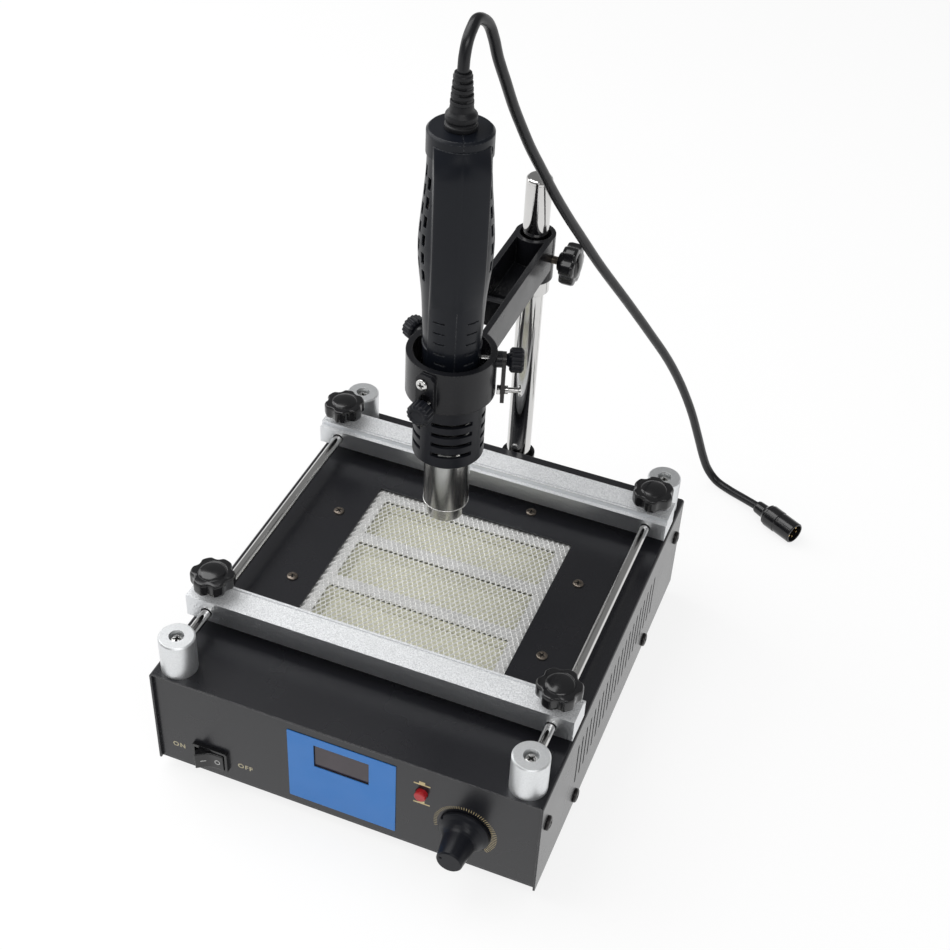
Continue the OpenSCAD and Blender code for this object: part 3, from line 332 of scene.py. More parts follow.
# The grip's edge colour is a painted highlight along the strap's edges and rims
M["grip"] = surface("grip_plastic", (0.0058, 0.0072, 0.0110), 0.31, spec=0.22, dark=(0.0052, 0.0065, 0.0100),
                    mottle=30, rough_var=0.03, grain=[(2600, 0.10, 0.0001)], edge=0.0009,
                    wear_and_edge_highlight=(0.09, 0.094, 0.102))

SLOTS = {
    "black_powder_coat": "coat", "black_plastic": "plastic", "gloss_black_plastic": "gloss",
    "black_casting": "casting", "black_screw": "black_screw", "rubber": "rubber", "cord_jacket": "jacket",
    "satin_aluminium": "alu", "chrome": "chrome", "steel": "steel", "mesh_steel": "mesh", "ceramic": "ceramic",
    "insulation": "fibre", "blue_overlay": "overlay", "smoked_window": "window", "red_plastic": "red",
    "circuit_board": "board", "brass": "brass",
}
OWN = {
    "nozzle_tube": "tube", "mesh_frame": "frame", "clamp_bar_front": "bar", "clamp_bar_rear": "bar",
    "handle_shell_left": "grip", "handle_shell_right": "grip",
}
for sp in frame["record"]["subparts"]:
    ob = NODES[sp["node"]]
    ob.data.materials.clear()
    ob.data.materials.append(M[OWN.get(sp["node"], SLOTS[sp["material_slot"]])])

# Shapes in millimetres


class Shape:
    def __init__(self):
        self.v, self.f = [], []

    def add(self, verts, faces, mt=None):
        n = len(self.v)
        for p in verts:
            p = Vector(p)
            self.v.append(mt @ p if mt is not None else p)
        self.f += [tuple(n + i for i in q) for q in faces]
        return self

    def piece(self, name, mat, body, slot=None, smooth=35, replaces=()):
        ob = obj_from(name, [p * MM for p in self.v], self.f, mat, body, smooth)
        if replaces:
            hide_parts(*replaces)
        return ob


def fillet(pts, seg=4):
    """Rounds the corners of a profile of (r, z) or (r, z, radius)"""
    out = []
    for i, p in enumerate(pts):
        f = p[2] if len(p) > 2 else 0
        c = Vector(p[:2])
        if not f or i in (0, len(pts) - 1):
            out.append((c.x, c.y))
            continue
        a, b = Vector(pts[i - 1][:2]) - c, Vector(pts[i + 1][:2]) - c
        la, lb = a.length, b.length
        a.normalize()
        b.normalize()
        d = min(f / math.tan(a.angle(b) / 2), la * 0.48, lb * 0.48)
        p0, p1 = c + a * d, c + b * d
        for k in range(seg + 1):
            t = k / seg
            q = p0 * (1 - t) ** 2 + c * 2 * t * (1 - t) + p1 * t * t
            out.append((q.x, q.y))
    return out


def lathe(profile, segs=64, warp=None, loop=False):
    """Turns a profile of (r, z) about z; warp(r, angle, z) may move each point, loop closes the profile"""
    verts, faces, rings = [], [], []
    for r, z in profile:
        if r < 1e-6:
            rings.append([len(verts)])
            verts.append((0, 0, z))
            continue
        rings.append(list(range(len(verts), len(verts) + segs)))
        for k in range(segs):
            a = 2 * math.pi * k / segs
            if warp:
                verts.append(warp(r, a, z))
            else:
                verts.append((r * math.cos(a), r * math.sin(a), z))
    pairs = list(zip(rings, rings[1:]))
    if loop:
        pairs.append((rings[-1], rings[0]))
    for a, b in pairs:
        for k in range(segs):
            j = (k + 1) % segs
            if len(a) == 1 and len(b) == 1:
                continue
            if len(a) == 1:
                faces.append((a[0], b[j], b[k]))
            elif len(b) == 1:
                faces.append((a[k], a[j], b[0]))
            else:
                faces.append((a[k], a[j], b[j], b[k]))
    return verts, faces


def smoothstep(a, b, x):
    t = min(max((x - a) / (b - a), 0), 1)
    return t * t * (3 - 2 * t)


def cross_head(r, h, shank_r, length, dome=0.55, deep=None, segs=72):
    """A pan head with a cross recess, its shank pointing to -z"""
    arm, wide = 0.6 * r, 0.155 * r
    deep = deep or 0.62 * h

    def warp(rr, a, z):
        x, y = rr * math.cos(a), rr * math.sin(a)
        if z > h - dome - 0.01 and rr < arm * 1.2:
            best = 0
            for u, v in ((abs(x), abs(y)), (abs(y), abs(x))):
                w = wide * (1.15 - 0.3 * u / arm)
                along = 1 - smoothstep(arm * 0.82, arm, u)
                best = max(best, (1 - smoothstep(w - 0.05 * r, w + 0.03 * r, v)) * along)
            best = max(best, 1 - smoothstep(wide * 1.5, wide * 1.9, (abs(x) + abs(y)) * 0.75))
            z -= best * deep * (1 - 0.35 * rr / arm)
        return (x, y, z)

    top = [arm * 1.15 * k / 15 for k in range(15, 0, -1)]
    prof = [(0, -length), (shank_r, -length), (shank_r, 0), (r - 0.12, 0), (r, 0.15), (r, h * 0.42)]
    for k in range(1, 8):
        t = k / 8
        rise = (h * 0.58 - dome * 0.45) * math.sin(t * math.pi / 2)
        prof.append((r * (1 - 0.34 * t * t - 0.02 * t), h * 0.42 + rise))
    prof += [(q, h - dome * 0.45 * (q / (arm * 1.15)) ** 2) for q in top]
    prof.append((0, h - 0.0001))
    v, f = lathe(prof, segs, warp)
    v = list(v)
    v[-1] = (0, 0, h - deep)
    return v, f


def prism(first, second):
    """Vertices and faces between two loops of the same number of points"""
    n = len(first)
    faces = [tuple(range(n)), tuple(range(2 * n - 1, n - 1, -1))]
    faces += [(k, (k + 1) % n, n + (k + 1) % n, n + k) for k in range(n)]
    return first + second, faces


def hexagon(r, h, z=0, bevelled=0.25):
    prof = [(0, z), (r - bevelled, z), (r, z + bevelled), (r, z + h - bevelled), (r - bevelled, z + h), (0, z + h)]
    return lathe(prof, 6)


def at(x, y, z, d=(0, 0, 1), hint=(1, 0, 0), spin=0):
    """A placing matrix at a point, its z along d, turned about it by spin degrees"""
    return frame_along((x, y, z), d, hint) @ Matrix.Rotation(math.radians(spin), 4, "Z")


RING_Y = 11.0
ARM_TOP = high("support_arm").z / MM
GUN_ZERO, GUN_TURN = ARM_TOP - 236.5, 27
TOPZ = TOP / MM
POST_X, POST_Y = 105, 123


def radial(a, z, out=0.0, spin=0):
    """A placing matrix that looks out of the ring at the angle a and the height z"""
    a = math.radians(a)
    d = (math.cos(a), math.sin(a), 0)
    return at(d[0] * out, RING_Y + d[1] * out, z, d, (0, 0, -1), spin)


def recess_shade_cross(r, h, deep):
    """A near-black cross near the floor of a recess: painted shade in the cross recess"""
    z, a, w = h - deep * 0.60, 0.52 * r, 0.13 * r
    end = w * 0.8
    pts = [(w, w), (a, end), (a, -end), (w, -w), (end, -a), (-end, -a),
           (-w, -w), (-a, -end), (-a, end), (-w, w), (-end, a), (end, a)]
    return prism([(x, y, z) for x, y in pts], [(x, y, z - 0.3) for x, y in pts])


def screws(name, node, places, r, h, shank_r, length, mat, body, slot, extra=None):
    sh, dark = Shape(), Shape()
    head, shade_cross = cross_head(r, h, shank_r, length), recess_shade_cross(r, h, 0.62 * h)
    for mt in places:
        sh.add(*head, mt)
        dark.add(*shade_cross, mt)
        for more in extra or []:
            sh.add(*more, mt)
    # The near-black crosses are painted shade in the screws' cross recesses
    dark.piece(name + "_recess", M["recess"], body, None, None)
    return sh.piece(name, mat, body, slot, 40, (node,))


# Screws

screws("tray_screw_set", "tray_screws",
       [at(x, y, TOPZ, spin=turn) for x, y, turn in (
           (80, 32.5, 12), (-80, 32.5, 50), (80, -32.5, 71), (-80, -32.5, 28),
           (31.5, 82, 5), (-31.5, 82, 64), (31.5, -82, 40), (-31.5, -82, 17))],
       3.3, 1.6, 1.5, 6, M["steel"], "station", "steel")
screws("post_screw_set", "post_screws",
       [at(sx * POST_X, sy * POST_Y, TOPZ + 20, spin=turn)
        for sx, sy, turn in ((-1, -1, 20), (1, -1, 64), (-1, 1, 35), (1, 1, 8))],
       3.8, 2.5, 2, 26, M["zinc"], "station", "steel", [hexagon(4, 3.2, -24.4)])
screws("cover_screw_set", "cover_screws",
       [at(s * 118, y, z, (s, 0, 0), (0, 0, 1), turn) for s in (-1, 1)
        for y, z, turn in ((-124, 56, 15), (124, 56, 47), (-68, 14, 70), (68, 14, 33))],
       4.25, 2.2, 1.45, 7, M["black_screw"], "station", "black_screw")
screws("bracket_screw_set", "bracket_screws",
       [at(sx * 19, 136, z, (0, 1, 0), (0, 0, 1), turn) for sx in (-1, 1) for z, turn in ((26, 22), (60, 58))],
       3.3, 2, 1.5, 8.2, M["black_screw"], "station", "black_screw", [hexagon(3.2, 2.4, -6.6)])
screws("holder_screw_head", "holder_screw", [radial(-102, ARM_TOP - 7.5, 27.1, 15)],
       3.5, 2.2, 1.5, 5, M["chrome"], "arm", "chrome")
strip_mt = radial(20, ARM_TOP - 25.5, 37.7)
sh = Shape().add(*cross_head(3.25, 2, 1.5, 12.1), strip_mt)
sh.add(*hexagon(3, 2.1, -12.1), strip_mt)
sh.add(*lathe(fillet([(1.4, -7.8), (2.4, -7.8, 0.3), (2.4, -5.8, 0.3), (1.4, -5.8)], 2), 32), strip_mt)
sh.piece("side_strip_bolt", M["chrome"], "arm", "black_screw", 40, ("side_strip_screw",))
GUN = Matrix.Translation((0, RING_Y, 0)) @ Matrix.Rotation(math.radians(GUN_TURN), 4, "Z")
screws("handle_screw_set", "handle_screws",
       [GUN @ at(8, y, l + GUN_ZERO, (1, 0, 0), (0, 0, 1), turn)
        for y, l, turn in ((-10, 361, 10), (10, 361, 40), (11, 268, 70))],
       2.3, 1.6, 1.2, 13, M["steel"], "gun", "steel")

# The handle's front and back straps, with a shoulder below the head and rounded edges

STRAP = [(364, 17.6), (362, 18.5), (360.5, 19.25), (359, 19.95), (357.5, 20.5), (356, 20.9), (354, 21.3),
         (352, 21.6), (350, 21.8), (346, 22.0), (340, 22.1), (330, 22.1), (320, 22.1), (310, 22.0), (301, 21.75),
         (292, 21.15), (283, 20.35), (278, 19.85), (274, 19.4), (270, 18.88), (267.6, 18.6)]


def strap_r(l):
    """The strap's distance from the handle's axis at the level l"""
    for (l1, r1), (l0, r0) in zip(STRAP, STRAP[1:]):
        if l0 <= l <= l1:
            return r0 + (r1 - r0) * (l - l0) / (l1 - l0)
    return STRAP[0][1] if l > STRAP[0][0] else STRAP[-1][1]


def strap():
    wide, er, seam = 14.2, 0.8, 0.09
    cols = [-wide + er * (1 - math.cos(t * math.pi / 10)) for t in range(6)] + [-12, -9, -6, -3, -0.35, -0.12]
    cols += [-x for x in reversed(cols)]
    rows = [364 - 0.75 * k for k in range(24)] + [346.3 - 2 * k for k in range(39)] + [269, 267.6]
    verts, faces = [], []
    for l in rows:
        r = sum(strap_r(l + d) for d in (-1.6, -0.8, 0, 0.8, 1.6)) / 5 if 272 < l < 362 else strap_r(l)
        sag = r - math.sqrt(r * r - wide * wide)
        sag *= 1 - 0.42 * smoothstep(268, 300, l) * (1 - smoothstep(350, 362, l))
        line = []
        for x in cols:
            q = max(abs(x) - (wide - er), 0)
            down = er - math.sqrt(max(er * er - q * q, 0)) + (seam if abs(x) < 0.13 else 0)
            line.append((x, sag * (x / wide) ** 2 - r + down))
        line = [(-wide, -6)] + line + [(wide, -6)]
        verts += [(x, y, GUN_ZERO + l) for x, y in line]
    n, m = len(cols) + 2, len(rows)
    for i in range(m - 1):
        for j in range(n - 1):
            faces.append((i * n + j, i * n + j + 1, (i + 1) * n + j + 1, (i + 1) * n + j))
        faces.append((i * n + n - 1, i * n, (i + 1) * n, (i + 1) * n + n - 1))
    faces += [tuple(range(n))[::-1], tuple((m - 1) * n + j for j in range(n))]
    return verts, faces


for nm, turn in (("strap_front", 0), ("strap_back", 180)):
    Shape().add(*strap(), GUN @ Matrix.Rotation(math.radians(turn), 4, "Z")).piece(
        nm, M["grip"], "gun", "black_plastic", 50)

# Rolled edge where the nozzle tube steps down to its lip
ring = [(13.0 + 0.42 * math.cos(k * math.pi / 6), GUN_ZERO + 130.4 + 0.42 * math.sin(k * math.pi / 6))
        for k in range(12)]
Shape().add(*lathe(ring, 72, None, True), GUN).piece("tube_bead", M["chrome"], "gun", "chrome", 60)

# Star knobs: six lobes, a flat rim and a low dome


STAR_R, STAR_H = 13.0, 14.1


def lobe_table(r, n=360):
    """The radius of the six-lobed outline at each degree, smoothed"""
    raw = []
    for k in range(n):
        a = 360 * k / n
        d = math.radians((a - 30 + 30) % 60 - 30)
        c, rho = r + 3.7, 5.5
        t = r
        if abs(c * math.sin(d)) < rho:
            t = min(r, c * math.cos(d) - math.sqrt(rho ** 2 - (c * math.sin(d)) ** 2))
        raw.append(t)
    w = [math.exp(-(j / 3.2) ** 2 / 2) for j in range(-10, 11)]
    tot = sum(w)
    return [sum(raw[(k + j) % n] * w[j + 10] for j in range(-10, 11)) / tot for k in range(n)]


LOBES = lobe_table(STAR_R)


def star_shape(stud_len, stud_r=2.5):
    def warp(rr, a, z):
        inset = STAR_R - rr
        base = LOBES[int(round(math.degrees(a))) % 360]
        t = smoothstep(8.6, 10.4, rr)
        q = (base - inset) * t + min(rr, base - 1.2) * (1 - t)
        return (q * math.cos(a), q * math.sin(a), z)

    prof = [(0, 3.2), (6.4, 3.2), (10.2, 3.1)]
    prof += fillet([(10.2, 3.05), (12.4, 3.1, 1.0), (STAR_R, 5.2, 1.6), (STAR_R, 10.6, 2.2), (12.3, 12.0, 1.2),
                    (9.4, 12.3)], 5)
    prof += fillet([(9.2, 12.3), (8.5, 12.2, 0.3), (8.2, 12.05, 0.25), (7.9, 12.35, 0.3), (7.2, 12.95, 0.6)], 3)
    prof += [(7.1 * (1 - k / 9), 12.95 + 1.1 * (1 - (1 - k / 9) ** 2)) for k in range(1, 9)] + [(0, 14.05)]
    hub = [(0, 0), (5.2, 0)] + fillet([(5.5, 0.0), (5.8, 0.3, 0.2), (6.3, 3.4)], 2) + [(0, 3.5)]
    stud = [(0, -stud_len), (stud_r - 0.4, -stud_len), (stud_r, 0.4 - stud_len)]
    z = 0.4 - stud_len
    while z < -0.9:
        stud += [(stud_r, z + 0.1), (stud_r - 0.28, z + 0.35), (stud_r, z + 0.6)]
        z += 0.8
    stud += [(stud_r, 1), (0, 1)]
    return lathe(prof, 180, warp), lathe(hub, 48), lathe(stud, 32)


def star_knob(name, node, mt, body, stud_len):
    top, hub, stud = star_shape(stud_len)
    Shape().add(*top, mt).add(*hub, mt).piece(name, M["gloss"], body, "gloss_black_plastic", 50, (node,))
    Shape().add(*stud, mt).piece(name + "_stud", M["steel"], body, "steel", 30, (node,))


for row in ("front", "rear"):
    for side in ("left", "right"):
        nm = "clamp_knob_%s_%s" % (row, side)
        c, hi = mid(nm) / MM, high(nm).z / MM
        kz = hi - STAR_H
        star_knob(nm.replace("clamp_knob", "star"), nm, at(c.x, c.y, kz, spin={"front": 14, "rear": 40}[row]),
                  nm.replace("clamp_", ""), kz - low(nm).z / MM)
hk = high("arm_knob").x / MM - STAR_H
star_knob("star_arm", "arm_knob", at(hk, mid("arm_knob").y / MM, ARM_TOP - 16, (1, 0, 0), (0, 0, -1), 20),
          "arm_lock", hk - low("arm_knob").x / MM)

# Thumbscrews of the ring


def thumb_screw(name, node, mt, body, tip, seat, r=7.0):
    def warp(rr, a, z):
        g = 0.5 + 0.5 * math.cos(a * 16)
        cut = 0.65 * (1 - g) ** 1.5 * smoothstep(4.6, 6.6, rr)
        q = rr - cut
        return (q * math.cos(a), q * math.sin(a), z)

    z0 = seat + 1.5
    prof = [(0, z0), (4.2, z0)]
    prof += fillet([(4.3, z0), (5.6, z0, 0.3), (r, z0 + 1.2, 0.6), (r, z0 + 6.8, 0.8), (5.4, z0 + 8.0, 0.6),
                    (4.4, z0 + 8.0)], 3)
    prof += fillet([(4.2, z0 + 8.0), (3.8, z0 + 7.4, 0.3), (0.5, z0 + 7.3)], 2) + [(0, z0 + 7.3)]
    hub = lathe([(0, seat), (3.2, seat), (4.1, seat + 1.7), (0, seat + 1.7)], 40)
    Shape().add(*lathe(prof, 192, warp), mt).add(*hub, mt).piece(
        name, M["plastic"], body, "black_plastic", 45, (node,))
    stud = [(0, tip), (1.6, tip), (2.0, tip + 0.3)]
    z = tip + 0.3
    while z < seat - 0.6:
        stud += [(2.0, z + 0.08), (1.75, z + 0.28), (2.0, z + 0.5)]
        z += 0.7
    stud += [(2.0, seat + 0.5), (0, seat + 0.5)]
    Shape().add(*lathe(stud, 28), mt).piece(name + "_stud", M["chrome"], body, "chrome", 30, (node,))


thumb_screw("thumb_right", "ring_knob_right", radial(20, ARM_TOP - 5), "ring_lock_right", 15.9, 30.0)
thumb_screw("thumb_left", "ring_knob_left", radial(150, ARM_TOP - 5), "ring_lock_left", 15.9, 27.8)
thumb_screw("thumb_front", "ring_knob_front", radial(-97, ARM_TOP - 22), "ring_lock_front", 20.5, 27.6)

# Expanded metal guard: zigzag strands along y, tilted about y, joined at the knuckles


def expanded_mesh(name, x0, x1, y0, y1, z_mid, swd, lwd, width, thick, tilt, mat):
    sh = Shape()
    nx = int(round((x1 - x0) / swd))
    swd = (x1 - x0) / nx
    ny = int(round((y1 - y0) / (lwd / 2)))
    step = (y1 - y0) / ny
    ct, st = math.cos(tilt), math.sin(tilt)
    a, b = Vector((ct, 0, st)) * (width / 2), Vector((-st, 0, ct)) * (thick / 2)
    for i in range(nx):
        for k in (0, 1):
            base = x0 + (i + 0.25 + 0.5 * k) * swd
            verts, faces = [], []
            for j in range(ny + 1):
                off = (1 if (j + k) % 2 == 0 else -1) * swd * 0.25
                for q in (-0.1, 0.1):
                    y = min(max(y0 + (j + q) * step, y0), y1)
                    c = Vector((base + off, y, z_mid + off * st / ct * 0.1))
                    w = 0.45 if off * q > 0 else 1.0
                    for s1, s2 in ((-1, -1), (1, -1), (1, 1), (-1, 1)):
                        verts.append(c + a * s1 * w + b * s2)
            rings = 2 * (ny + 1)
            for j in range(rings - 1):
                for q in range(4):
                    p = 4 * j
                    faces.append((p + q, p + (q + 1) % 4, p + 4 + (q + 1) % 4, p + 4 + q))
            faces.append((3, 2, 1, 0))
            p = 4 * (rings - 1)
            faces.append((p, p + 1, p + 2, p + 3))
            sh.add(verts, faces)
    return sh.piece(name, mat, "station", "mesh_steel", 30, ("mesh_guard",))


mlo, mhi = low("mesh_guard") / MM, high("mesh_guard") / MM
expanded_mesh("expanded_metal", mlo.x, mhi.x, mlo.y, mhi.y, mhi.z - 0.74, 3.37, 6.0, 1.05, 0.27,
              math.radians(-53), M["mesh"])

# Folded lips under the frame's windows, down to the tiles, and near-black strips along the windows' rear edges as
# painted shade of the gap under the frame

TILE_PITCH = (122 - 2.6) / 3 + 1.3
WINDOW_X, BRIDGE, WINDOW_SHIFT = 58, 8.2, 1.2
lips, gap_shade = Shape(), Shape()
f0, t1 = low("mesh_frame").z / MM, high("heater_tiles").z / MM


def plate(shape, a, b, thick=0.25):
    """A thin plate whose long edges run from a[0] to a[1] and from b[0] to b[1]"""
    v = [Vector(q) for q in (a[1], a[0], b[0], b[1])]
    shape.add(*prism(v, [q - Vector((0, 0, thick)) for q in v]))


for i in (-1, 0, 1):
    y = i * TILE_PITCH - WINDOW_SHIFT
    half = (TILE_PITCH - BRIDGE) / 2
    x0, x1, y0, y1, run = -WINDOW_X, WINDOW_X, y - half, y + half, (f0 - t1) * 0.9
    plate(lips, ((x0, y1, f0 + 0.2), (x1, y1, f0 + 0.2)), ((x0, y1 - run, t1 + 0.3), (x1, y1 - run, t1 + 0.3)))
    plate(lips, ((x0, y0, f0 + 0.2), (x0, y1, f0 + 0.2)), ((x0 + run, y0, t1 + 0.3), (x0 + run, y1, t1 + 0.3)))
    # A near-black strip along each window's rear edge: painted shade of the gap under the frame
    plate(gap_shade, ((x0, y1, f0 + 0.3), (x1, y1, f0 + 0.3)), ((x0, y1 - 0.4, f0 - 0.2), (x1, y1 - 0.4, f0 - 0.2)))
lips.piece("frame_lips", M["ceramic"], "station", None, None)
gap_shade.piece("frame_gap_shade", M["recess"], "station", None, None)

# Printed marks on the front panel


def panel_print(name, polys, mat):
    sh = Shape()
    y = FACE / MM - 0.04
    for poly in polys:
        sh.add(*prism([(x, y, z) for x, z in poly], [(x, y + 0.03, z) for x, z in poly]))
    return sh.piece(name, mat, "station", None, None)


def rect(x0, x1, z0, z1):
    return [(x0, z0), (x1, z0), (x1, z1), (x0, z1)]


DIAL = (74.5, 37.5)
TICKS, TICK_START, TICK_SWEEP = 51, 193.5, 236.5
ticks = []
for k in range(TICKS):
    a0 = TICK_START - TICK_SWEEP * k / (TICKS - 1)
    grow = smoothstep(0.35, 1.0, k / (TICKS - 1))
    r0, r1, w = 16.6 - 1.3 * grow, 18.7 + 0.2 * grow, 0.12 + 0.05 * grow
    ca, sa = math.cos(math.radians(a0)), math.sin(math.radians(a0))
    ticks.append([(DIAL[0] + r * ca + t * -sa, DIAL[1] + r * sa + t * ca)
                  for r, t in ((r0, -w), (r1, -w), (r1, w), (r0, w))])
panel_print("dial_ticks", ticks, M["print"])
BX = mid("push_button").x / MM
panel_print("button_bars", [rect(BX - 4.9, BX + 4.9, 62.7, 63.7), rect(BX - 1.8, BX + 1.8, 63.7, 65.6),
                            rect(BX - 4.9, BX + 4.9, 46.8, 47.8), rect(BX - 1.8, BX + 1.8, 47.8, 49.6)], M["print"])


def lettering(name, words, size, x, z, mat, spread, bold=0.02):
    cu = bpy.data.curves.new(name, "FONT")
    cu.body = words
    cu.size = size
    cu.align_x = "CENTER"
    cu.align_y = "CENTER"
    cu.space_character = spread
    cu.offset = bold * size
    cu.extrude = 0.015
    tmp = bpy.data.objects.new(name, cu)
    scene.collection.objects.link(tmp)
    me = bpy.data.meshes.new_from_object(tmp.evaluated_get(bpy.context.evaluated_depsgraph_get()))
    bpy.data.objects.remove(tmp)
    me.transform(Matrix.Diagonal((MM, MM, MM, 1)) @ at(x, FACE / MM - 0.03, z, (0, -1, 0), (1, 0, 0)))
    me.materials.clear()
    me.materials.append(mat)
    ob = bpy.data.objects.new(name, me)
    scene.collection.objects.link(ob)
    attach(ob, "station")
    return ob


lettering("print_on", "ON", 4.9, -104.7, 22.6, M["letters"], 1.2)
lettering("print_off", "OFF", 4.9, -61.5, 23.2, M["letters"], 1.2)

# Rocker with a hollow front and its marks

TILT, ROCK_X = 17, 8.3
ROCK = Matrix.Translation((mid("rocker_frame").x / MM, FACE / MM - 1.1, mid("rocker_frame").z / MM))
ROCK = ROCK @ Matrix.Rotation(math.radians(TILT), 4, "Z")


def rock_y(x):
    """The hollow front of the rocker at x"""
    return -2.6 - 2 * (math.hypot(x / ROCK_X, 0.25) - 0.25) / (math.hypot(1, 0.25) - 0.25)


outline = [(ROCK_X * (k / 10 - 1), rock_y(ROCK_X * (k / 10 - 1))) for k in range(21)]
outline += [(ROCK_X, -0.5), (3.5, 6), (-3.5, 6), (-ROCK_X, -0.5)]
sh = Shape().add(*prism(*([(x, y, z) for x, y in outline] for z in (-5.9, 5.9))), ROCK)
ob = sh.piece("rocker_cap", M["gloss"], "rocker_switch", "gloss_black_plastic", 30, ("rocker",))
bevel(ob, 0.0005, 3)


def on_rocker(loops):
    sh = Shape()
    for loop in loops:
        sh.add(*prism(*([(x, rock_y(x) + d, z) for x, z in loop] for d in (-0.035, 0.02))), ROCK)
    return sh


quads = []
for k in range(32):
    a, b = 2 * math.pi * k / 32, 2 * math.pi * (k + 1) / 32
    corners = ((a, 1.7, 1.85), (b, 1.7, 1.85), (b, 1.2, 1.35), (a, 1.2, 1.35))
    quads.append([(4.6 + rx * math.cos(t), rz * math.sin(t)) for t, rx, rz in corners])
quads += [[(x, -0.3), (x + 0.8, -0.3), (x + 0.8, 0.3), (x, 0.3)] for x in (-5.2, -4.4, -3.6, -2.8)]
on_rocker(quads).piece("rocker_marks", M["white_print"], "rocker_switch", None, None)

# Strain relief: collar, bell and slotted ribs

g0 = GUN_ZERO
relief = fillet([(3.02, g0 + 365.4), (6.2, g0 + 365.4), (6.2, g0 + 366.8), (4.6, g0 + 366.8), (4.6, g0 + 369.05),
                 (8.35, g0 + 369.05, 0.3), (8.35, g0 + 371.4, 0.7), (7.5, g0 + 371.9, 0.5), (7.5, g0 + 373.2, 0.4),
                 (8.1, g0 + 373.8, 0.6), (8.1, g0 + 376.4, 1.6), (6.2, g0 + 378.6, 3.0), (5.75, g0 + 381.6)], 5)
ribs = [(381.8 + 3.2 * k, 5.95 - 0.27 * k) for k in range(5)]
gaps = []
for l0, rr in ribs:
    relief += [(rr - 0.25, g0 + l0), (rr, g0 + l0 + 0.3), (rr - 0.05, g0 + l0 + 1.75), (rr - 0.35, g0 + l0 + 2.05)]
    if l0 < 394:
        relief += [(rr - 1.25, g0 + l0 + 2.1), (rr - 1.3, g0 + l0 + 3.1)]
        gaps.append((g0 + l0 + 2.08, g0 + l0 + 3.12, rr, len(gaps)))
relief += [(4.4, g0 + 397.0), (4.3, g0 + 397.9), (4.0, g0 + 398), (3.02, g0 + 398)]


def relief_warp(rr, a, z):
    for z0, z1, full, k in gaps:
        if z0 - 0.005 < z < z1 + 0.005:
            c = abs(math.cos(a + (math.pi / 2 if k % 2 else 0)))
            rr = rr + (full - 0.35 - rr) * smoothstep(0.86, 0.93, c)
    return (rr * math.cos(a), rr * math.sin(a), z)


Shape().add(*lathe(relief, 96, relief_warp, True), at(0, RING_Y, 0, spin=-20)).piece(
    "relief_sleeve", M["rubber"], "gun", "rubber", 40, ("strain_relief",))

# Cord: the route's points repeat those of the part's source

ROUTE = [(0, 11, 406), (0, 11, 408), (0, 12, 414), (0, 15, 420), (0, 20, 424), (0, 26, 426),
         (1, 32, 424), (2, 38, 419), (3, 43, 410), (4, 48, 398), (6, 56, 382), (8, 64, 366),
         (11, 72, 350), (14, 80, 335), (18, 91, 317), (22, 102, 299), (27, 115, 279), (33, 130, 257),
         (42, 149, 228), (55, 174, 191), (67, 195, 158), (78, 212, 129), (87, 226, 101), (95, 237, 73),
         (101, 245, 48), (106, 251, 27), (111, 254, 13), (119, 253, 5), (130, 248, 4), (142, 241, 6),
         (154, 234, 8)]


def catmull(pts, per=6):
    """A smooth curve through the points"""
    out = []
    n = len(pts)
    for i in range(n - 1):
        p0, p1, p2, p3 = (Vector(pts[max(0, min(n - 1, k))]) for k in (i - 1, i, i + 1, i + 2))
        for s in range(per):
            t = s / per
            out.append(0.5 * (2 * p1 + (p2 - p0) * t + (2 * p0 - 5 * p1 + 4 * p2 - p3) * t * t
                              + (3 * p1 - p0 - 3 * p2 + p3) * t ** 3))
    out.append(Vector(pts[-1]))
    return out


def tube(name, pts, radius, mat, body, sides=16):
    verts, faces = [], []
    n = len(pts)
    x = Vector((1, 0, 0))
    for i, p in enumerate(pts):
        d = (pts[min(i + 1, n - 1)] - pts[max(i - 1, 0)]).normalized()
        x = (x - d * x.dot(d)).normalized()
        y = d.cross(x)
        for k in range(sides):
            a = 2 * math.pi * k / sides
            verts.append(p + radius * (x * math.cos(a) + y * math.sin(a)))
    for i in range(n - 1):
        for k in range(sides):
            j = (k + 1) % sides
            faces.append((i * sides + k, i * sides + j, (i + 1) * sides + j, (i + 1) * sides + k))
    faces.append(tuple(range(sides))[::-1])
    faces.append(tuple((n - 1) * sides + k for k in range(sides)))
    return obj_from(name, verts, faces, mat, body, smooth=60)


line = catmull([Vector(p) * MM for p in ROUTE])
cord = tube("cord_jacket", line, 0.00298, M["jacket"], "gun", 20)
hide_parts("cord")
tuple(line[0])

# Floor and background


def flat_stage(name, size, z, mat):
    me = bpy.data.meshes.new(name)
    s = size / 2
    me.from_pydata([(-s, -s, z), (s, -s, z), (s, s, z), (-s, s, z)], [], [(0, 1, 2, 3)])
    me.materials.append(mat)
    ob = bpy.data.objects.new(name, me)
    scene.collection.objects.link(ob)
    return ob


floor_mat, nt, bs = new_mat("floor")
bs.inputs["Base Color"].default_value = (0.90, 0.90, 0.90, 1)
bs.inputs["Roughness"].default_value = 0.9
bs.inputs["Specular IOR Level"].default_value = 0.0
path = nt.nodes.new("ShaderNodeLightPath")
seen = nt.nodes.new("ShaderNodeMath")
seen.operation = "MAXIMUM"
nt.links.new(path.outputs["Is Glossy Ray"], seen.inputs[0])
nt.links.new(path.outputs["Is Transmission Ray"], seen.inputs[1])
share = nt.nodes.new("ShaderNodeMath")
share.operation = "MULTIPLY_ADD"
nt.links.new(path.outputs["Is Camera Ray"], share.inputs[0])
share.inputs[1].default_value = 0.82
nt.links.new(seen.outputs[0], share.inputs[2])
glow = nt.nodes.new("ShaderNodeEmission")
glow.inputs[0].default_value = (1, 1, 1, 1)
blend = nt.nodes.new("ShaderNodeMixShader")
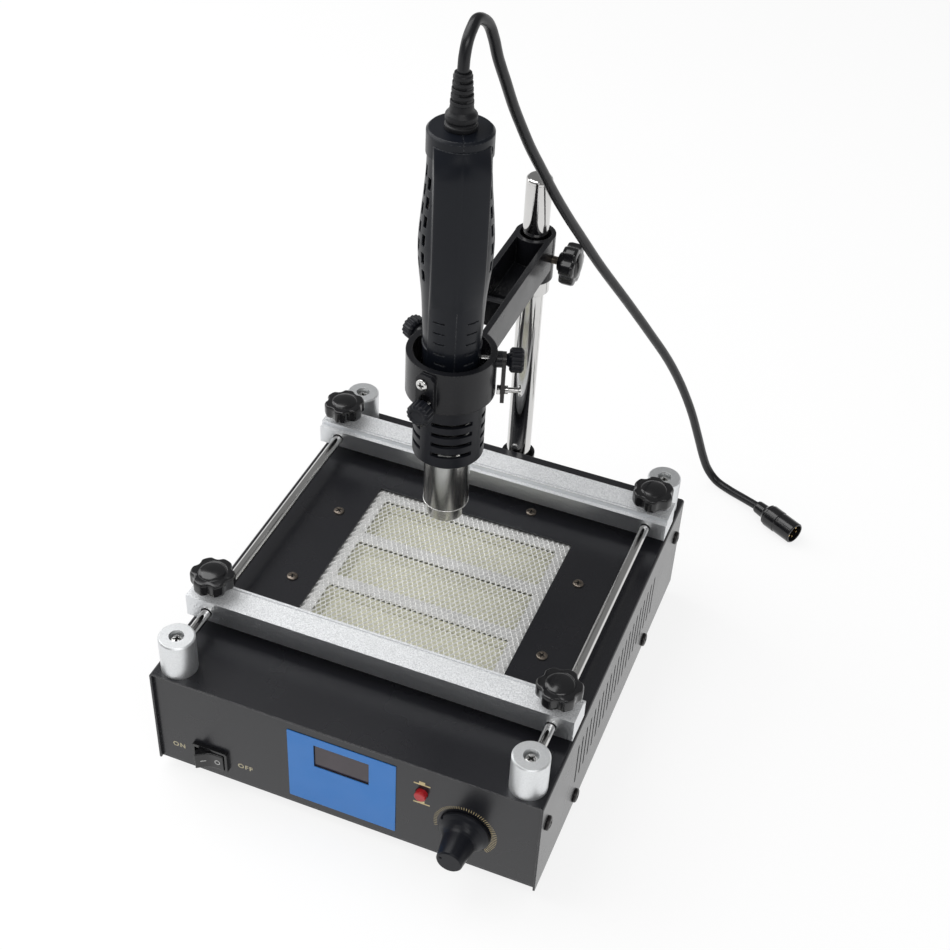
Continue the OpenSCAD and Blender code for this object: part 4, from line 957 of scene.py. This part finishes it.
nt.links.new(share.outputs[0], blend.inputs[0])
nt.links.new(bs.outputs[0], blend.inputs[1])
nt.links.new(glow.outputs[0], blend.inputs[2])
out = next(nd for nd in nt.nodes if nd.type == "OUTPUT_MATERIAL")
nt.links.new(blend.outputs[0], out.inputs[0])
floor = flat_stage("floor", 3.0, -0.0002, floor_mat)

world = bpy.data.worlds.new("world")
scene.world = world
world.use_nodes = True
wn = world.node_tree
wn.nodes.clear()
wo = wn.nodes.new("ShaderNodeOutputWorld")
bg = wn.nodes.new("ShaderNodeBackground")
lp = wn.nodes.new("ShaderNodeLightPath")


def wmath(op, a, b=None, c=None):
    nd = wn.nodes.new("ShaderNodeMath")
    nd.operation = op
    for k, q in enumerate((a, b, c)):
        if q is None:
            continue
        if isinstance(q, (int, float)):
            nd.inputs[k].default_value = q
        else:
            wn.links.new(q, nd.inputs[k])
    return nd.outputs[0]


# A pale room with a darker ceiling and a dark side where the photographer would stand
geo = wn.nodes.new("ShaderNodeTexCoord")
sep = wn.nodes.new("ShaderNodeSeparateXYZ")
wn.links.new(geo.outputs["Generated"], sep.inputs[0])
elev = span(wn, sep.outputs[2], 1.0, 0.25, 0.02, 0.26)
side = wmath("ADD", wmath("MULTIPLY", sep.outputs[0], 0.42), wmath("MULTIPLY", sep.outputs[1], -0.91))
gloom = span(wn, side, 1.0, 0.25, 0.80, 0.97)
room = wmath("MULTIPLY", elev, gloom)
soft = wmath("ADD", wmath("MULTIPLY", lp.outputs["Is Diffuse Ray"], 0.55),
             wmath("MULTIPLY", lp.outputs["Is Glossy Ray"], room))
level = wmath("MAXIMUM", wmath("MAXIMUM", soft, lp.outputs["Is Camera Ray"]), lp.outputs["Is Transmission Ray"])
bg.inputs[0].default_value = (1, 1, 1, 1)
wn.links.new(level, bg.inputs[1])
wn.links.new(bg.outputs[0], wo.inputs[0])


def area(name, loc, target, size, power):
    ld = bpy.data.lights.new(name, "AREA")
    ld.shape = "RECTANGLE"
    ld.size, ld.size_y = size
    ld.energy = power
    ob = bpy.data.objects.new(name, ld)
    scene.collection.objects.link(ob)
    ob.location = loc
    ob.rotation_mode = "QUATERNION"
    ob.rotation_quaternion = (Vector(target) - Vector(loc)).to_track_quat("-Z", "Y")
    return ob


area("key", (-0.74, 0.0, 1.5), (0, 0, 0.1), (1.2, 1.2), 15.5)
area("front", (0.6, -1.05, 1.35), (0, 0, 0.3), (1.2, 0.5), 7)
area("left", (-1.5, 0.3, 0.9), (0, 0, 0.15), (0.8, 1.0), 6)
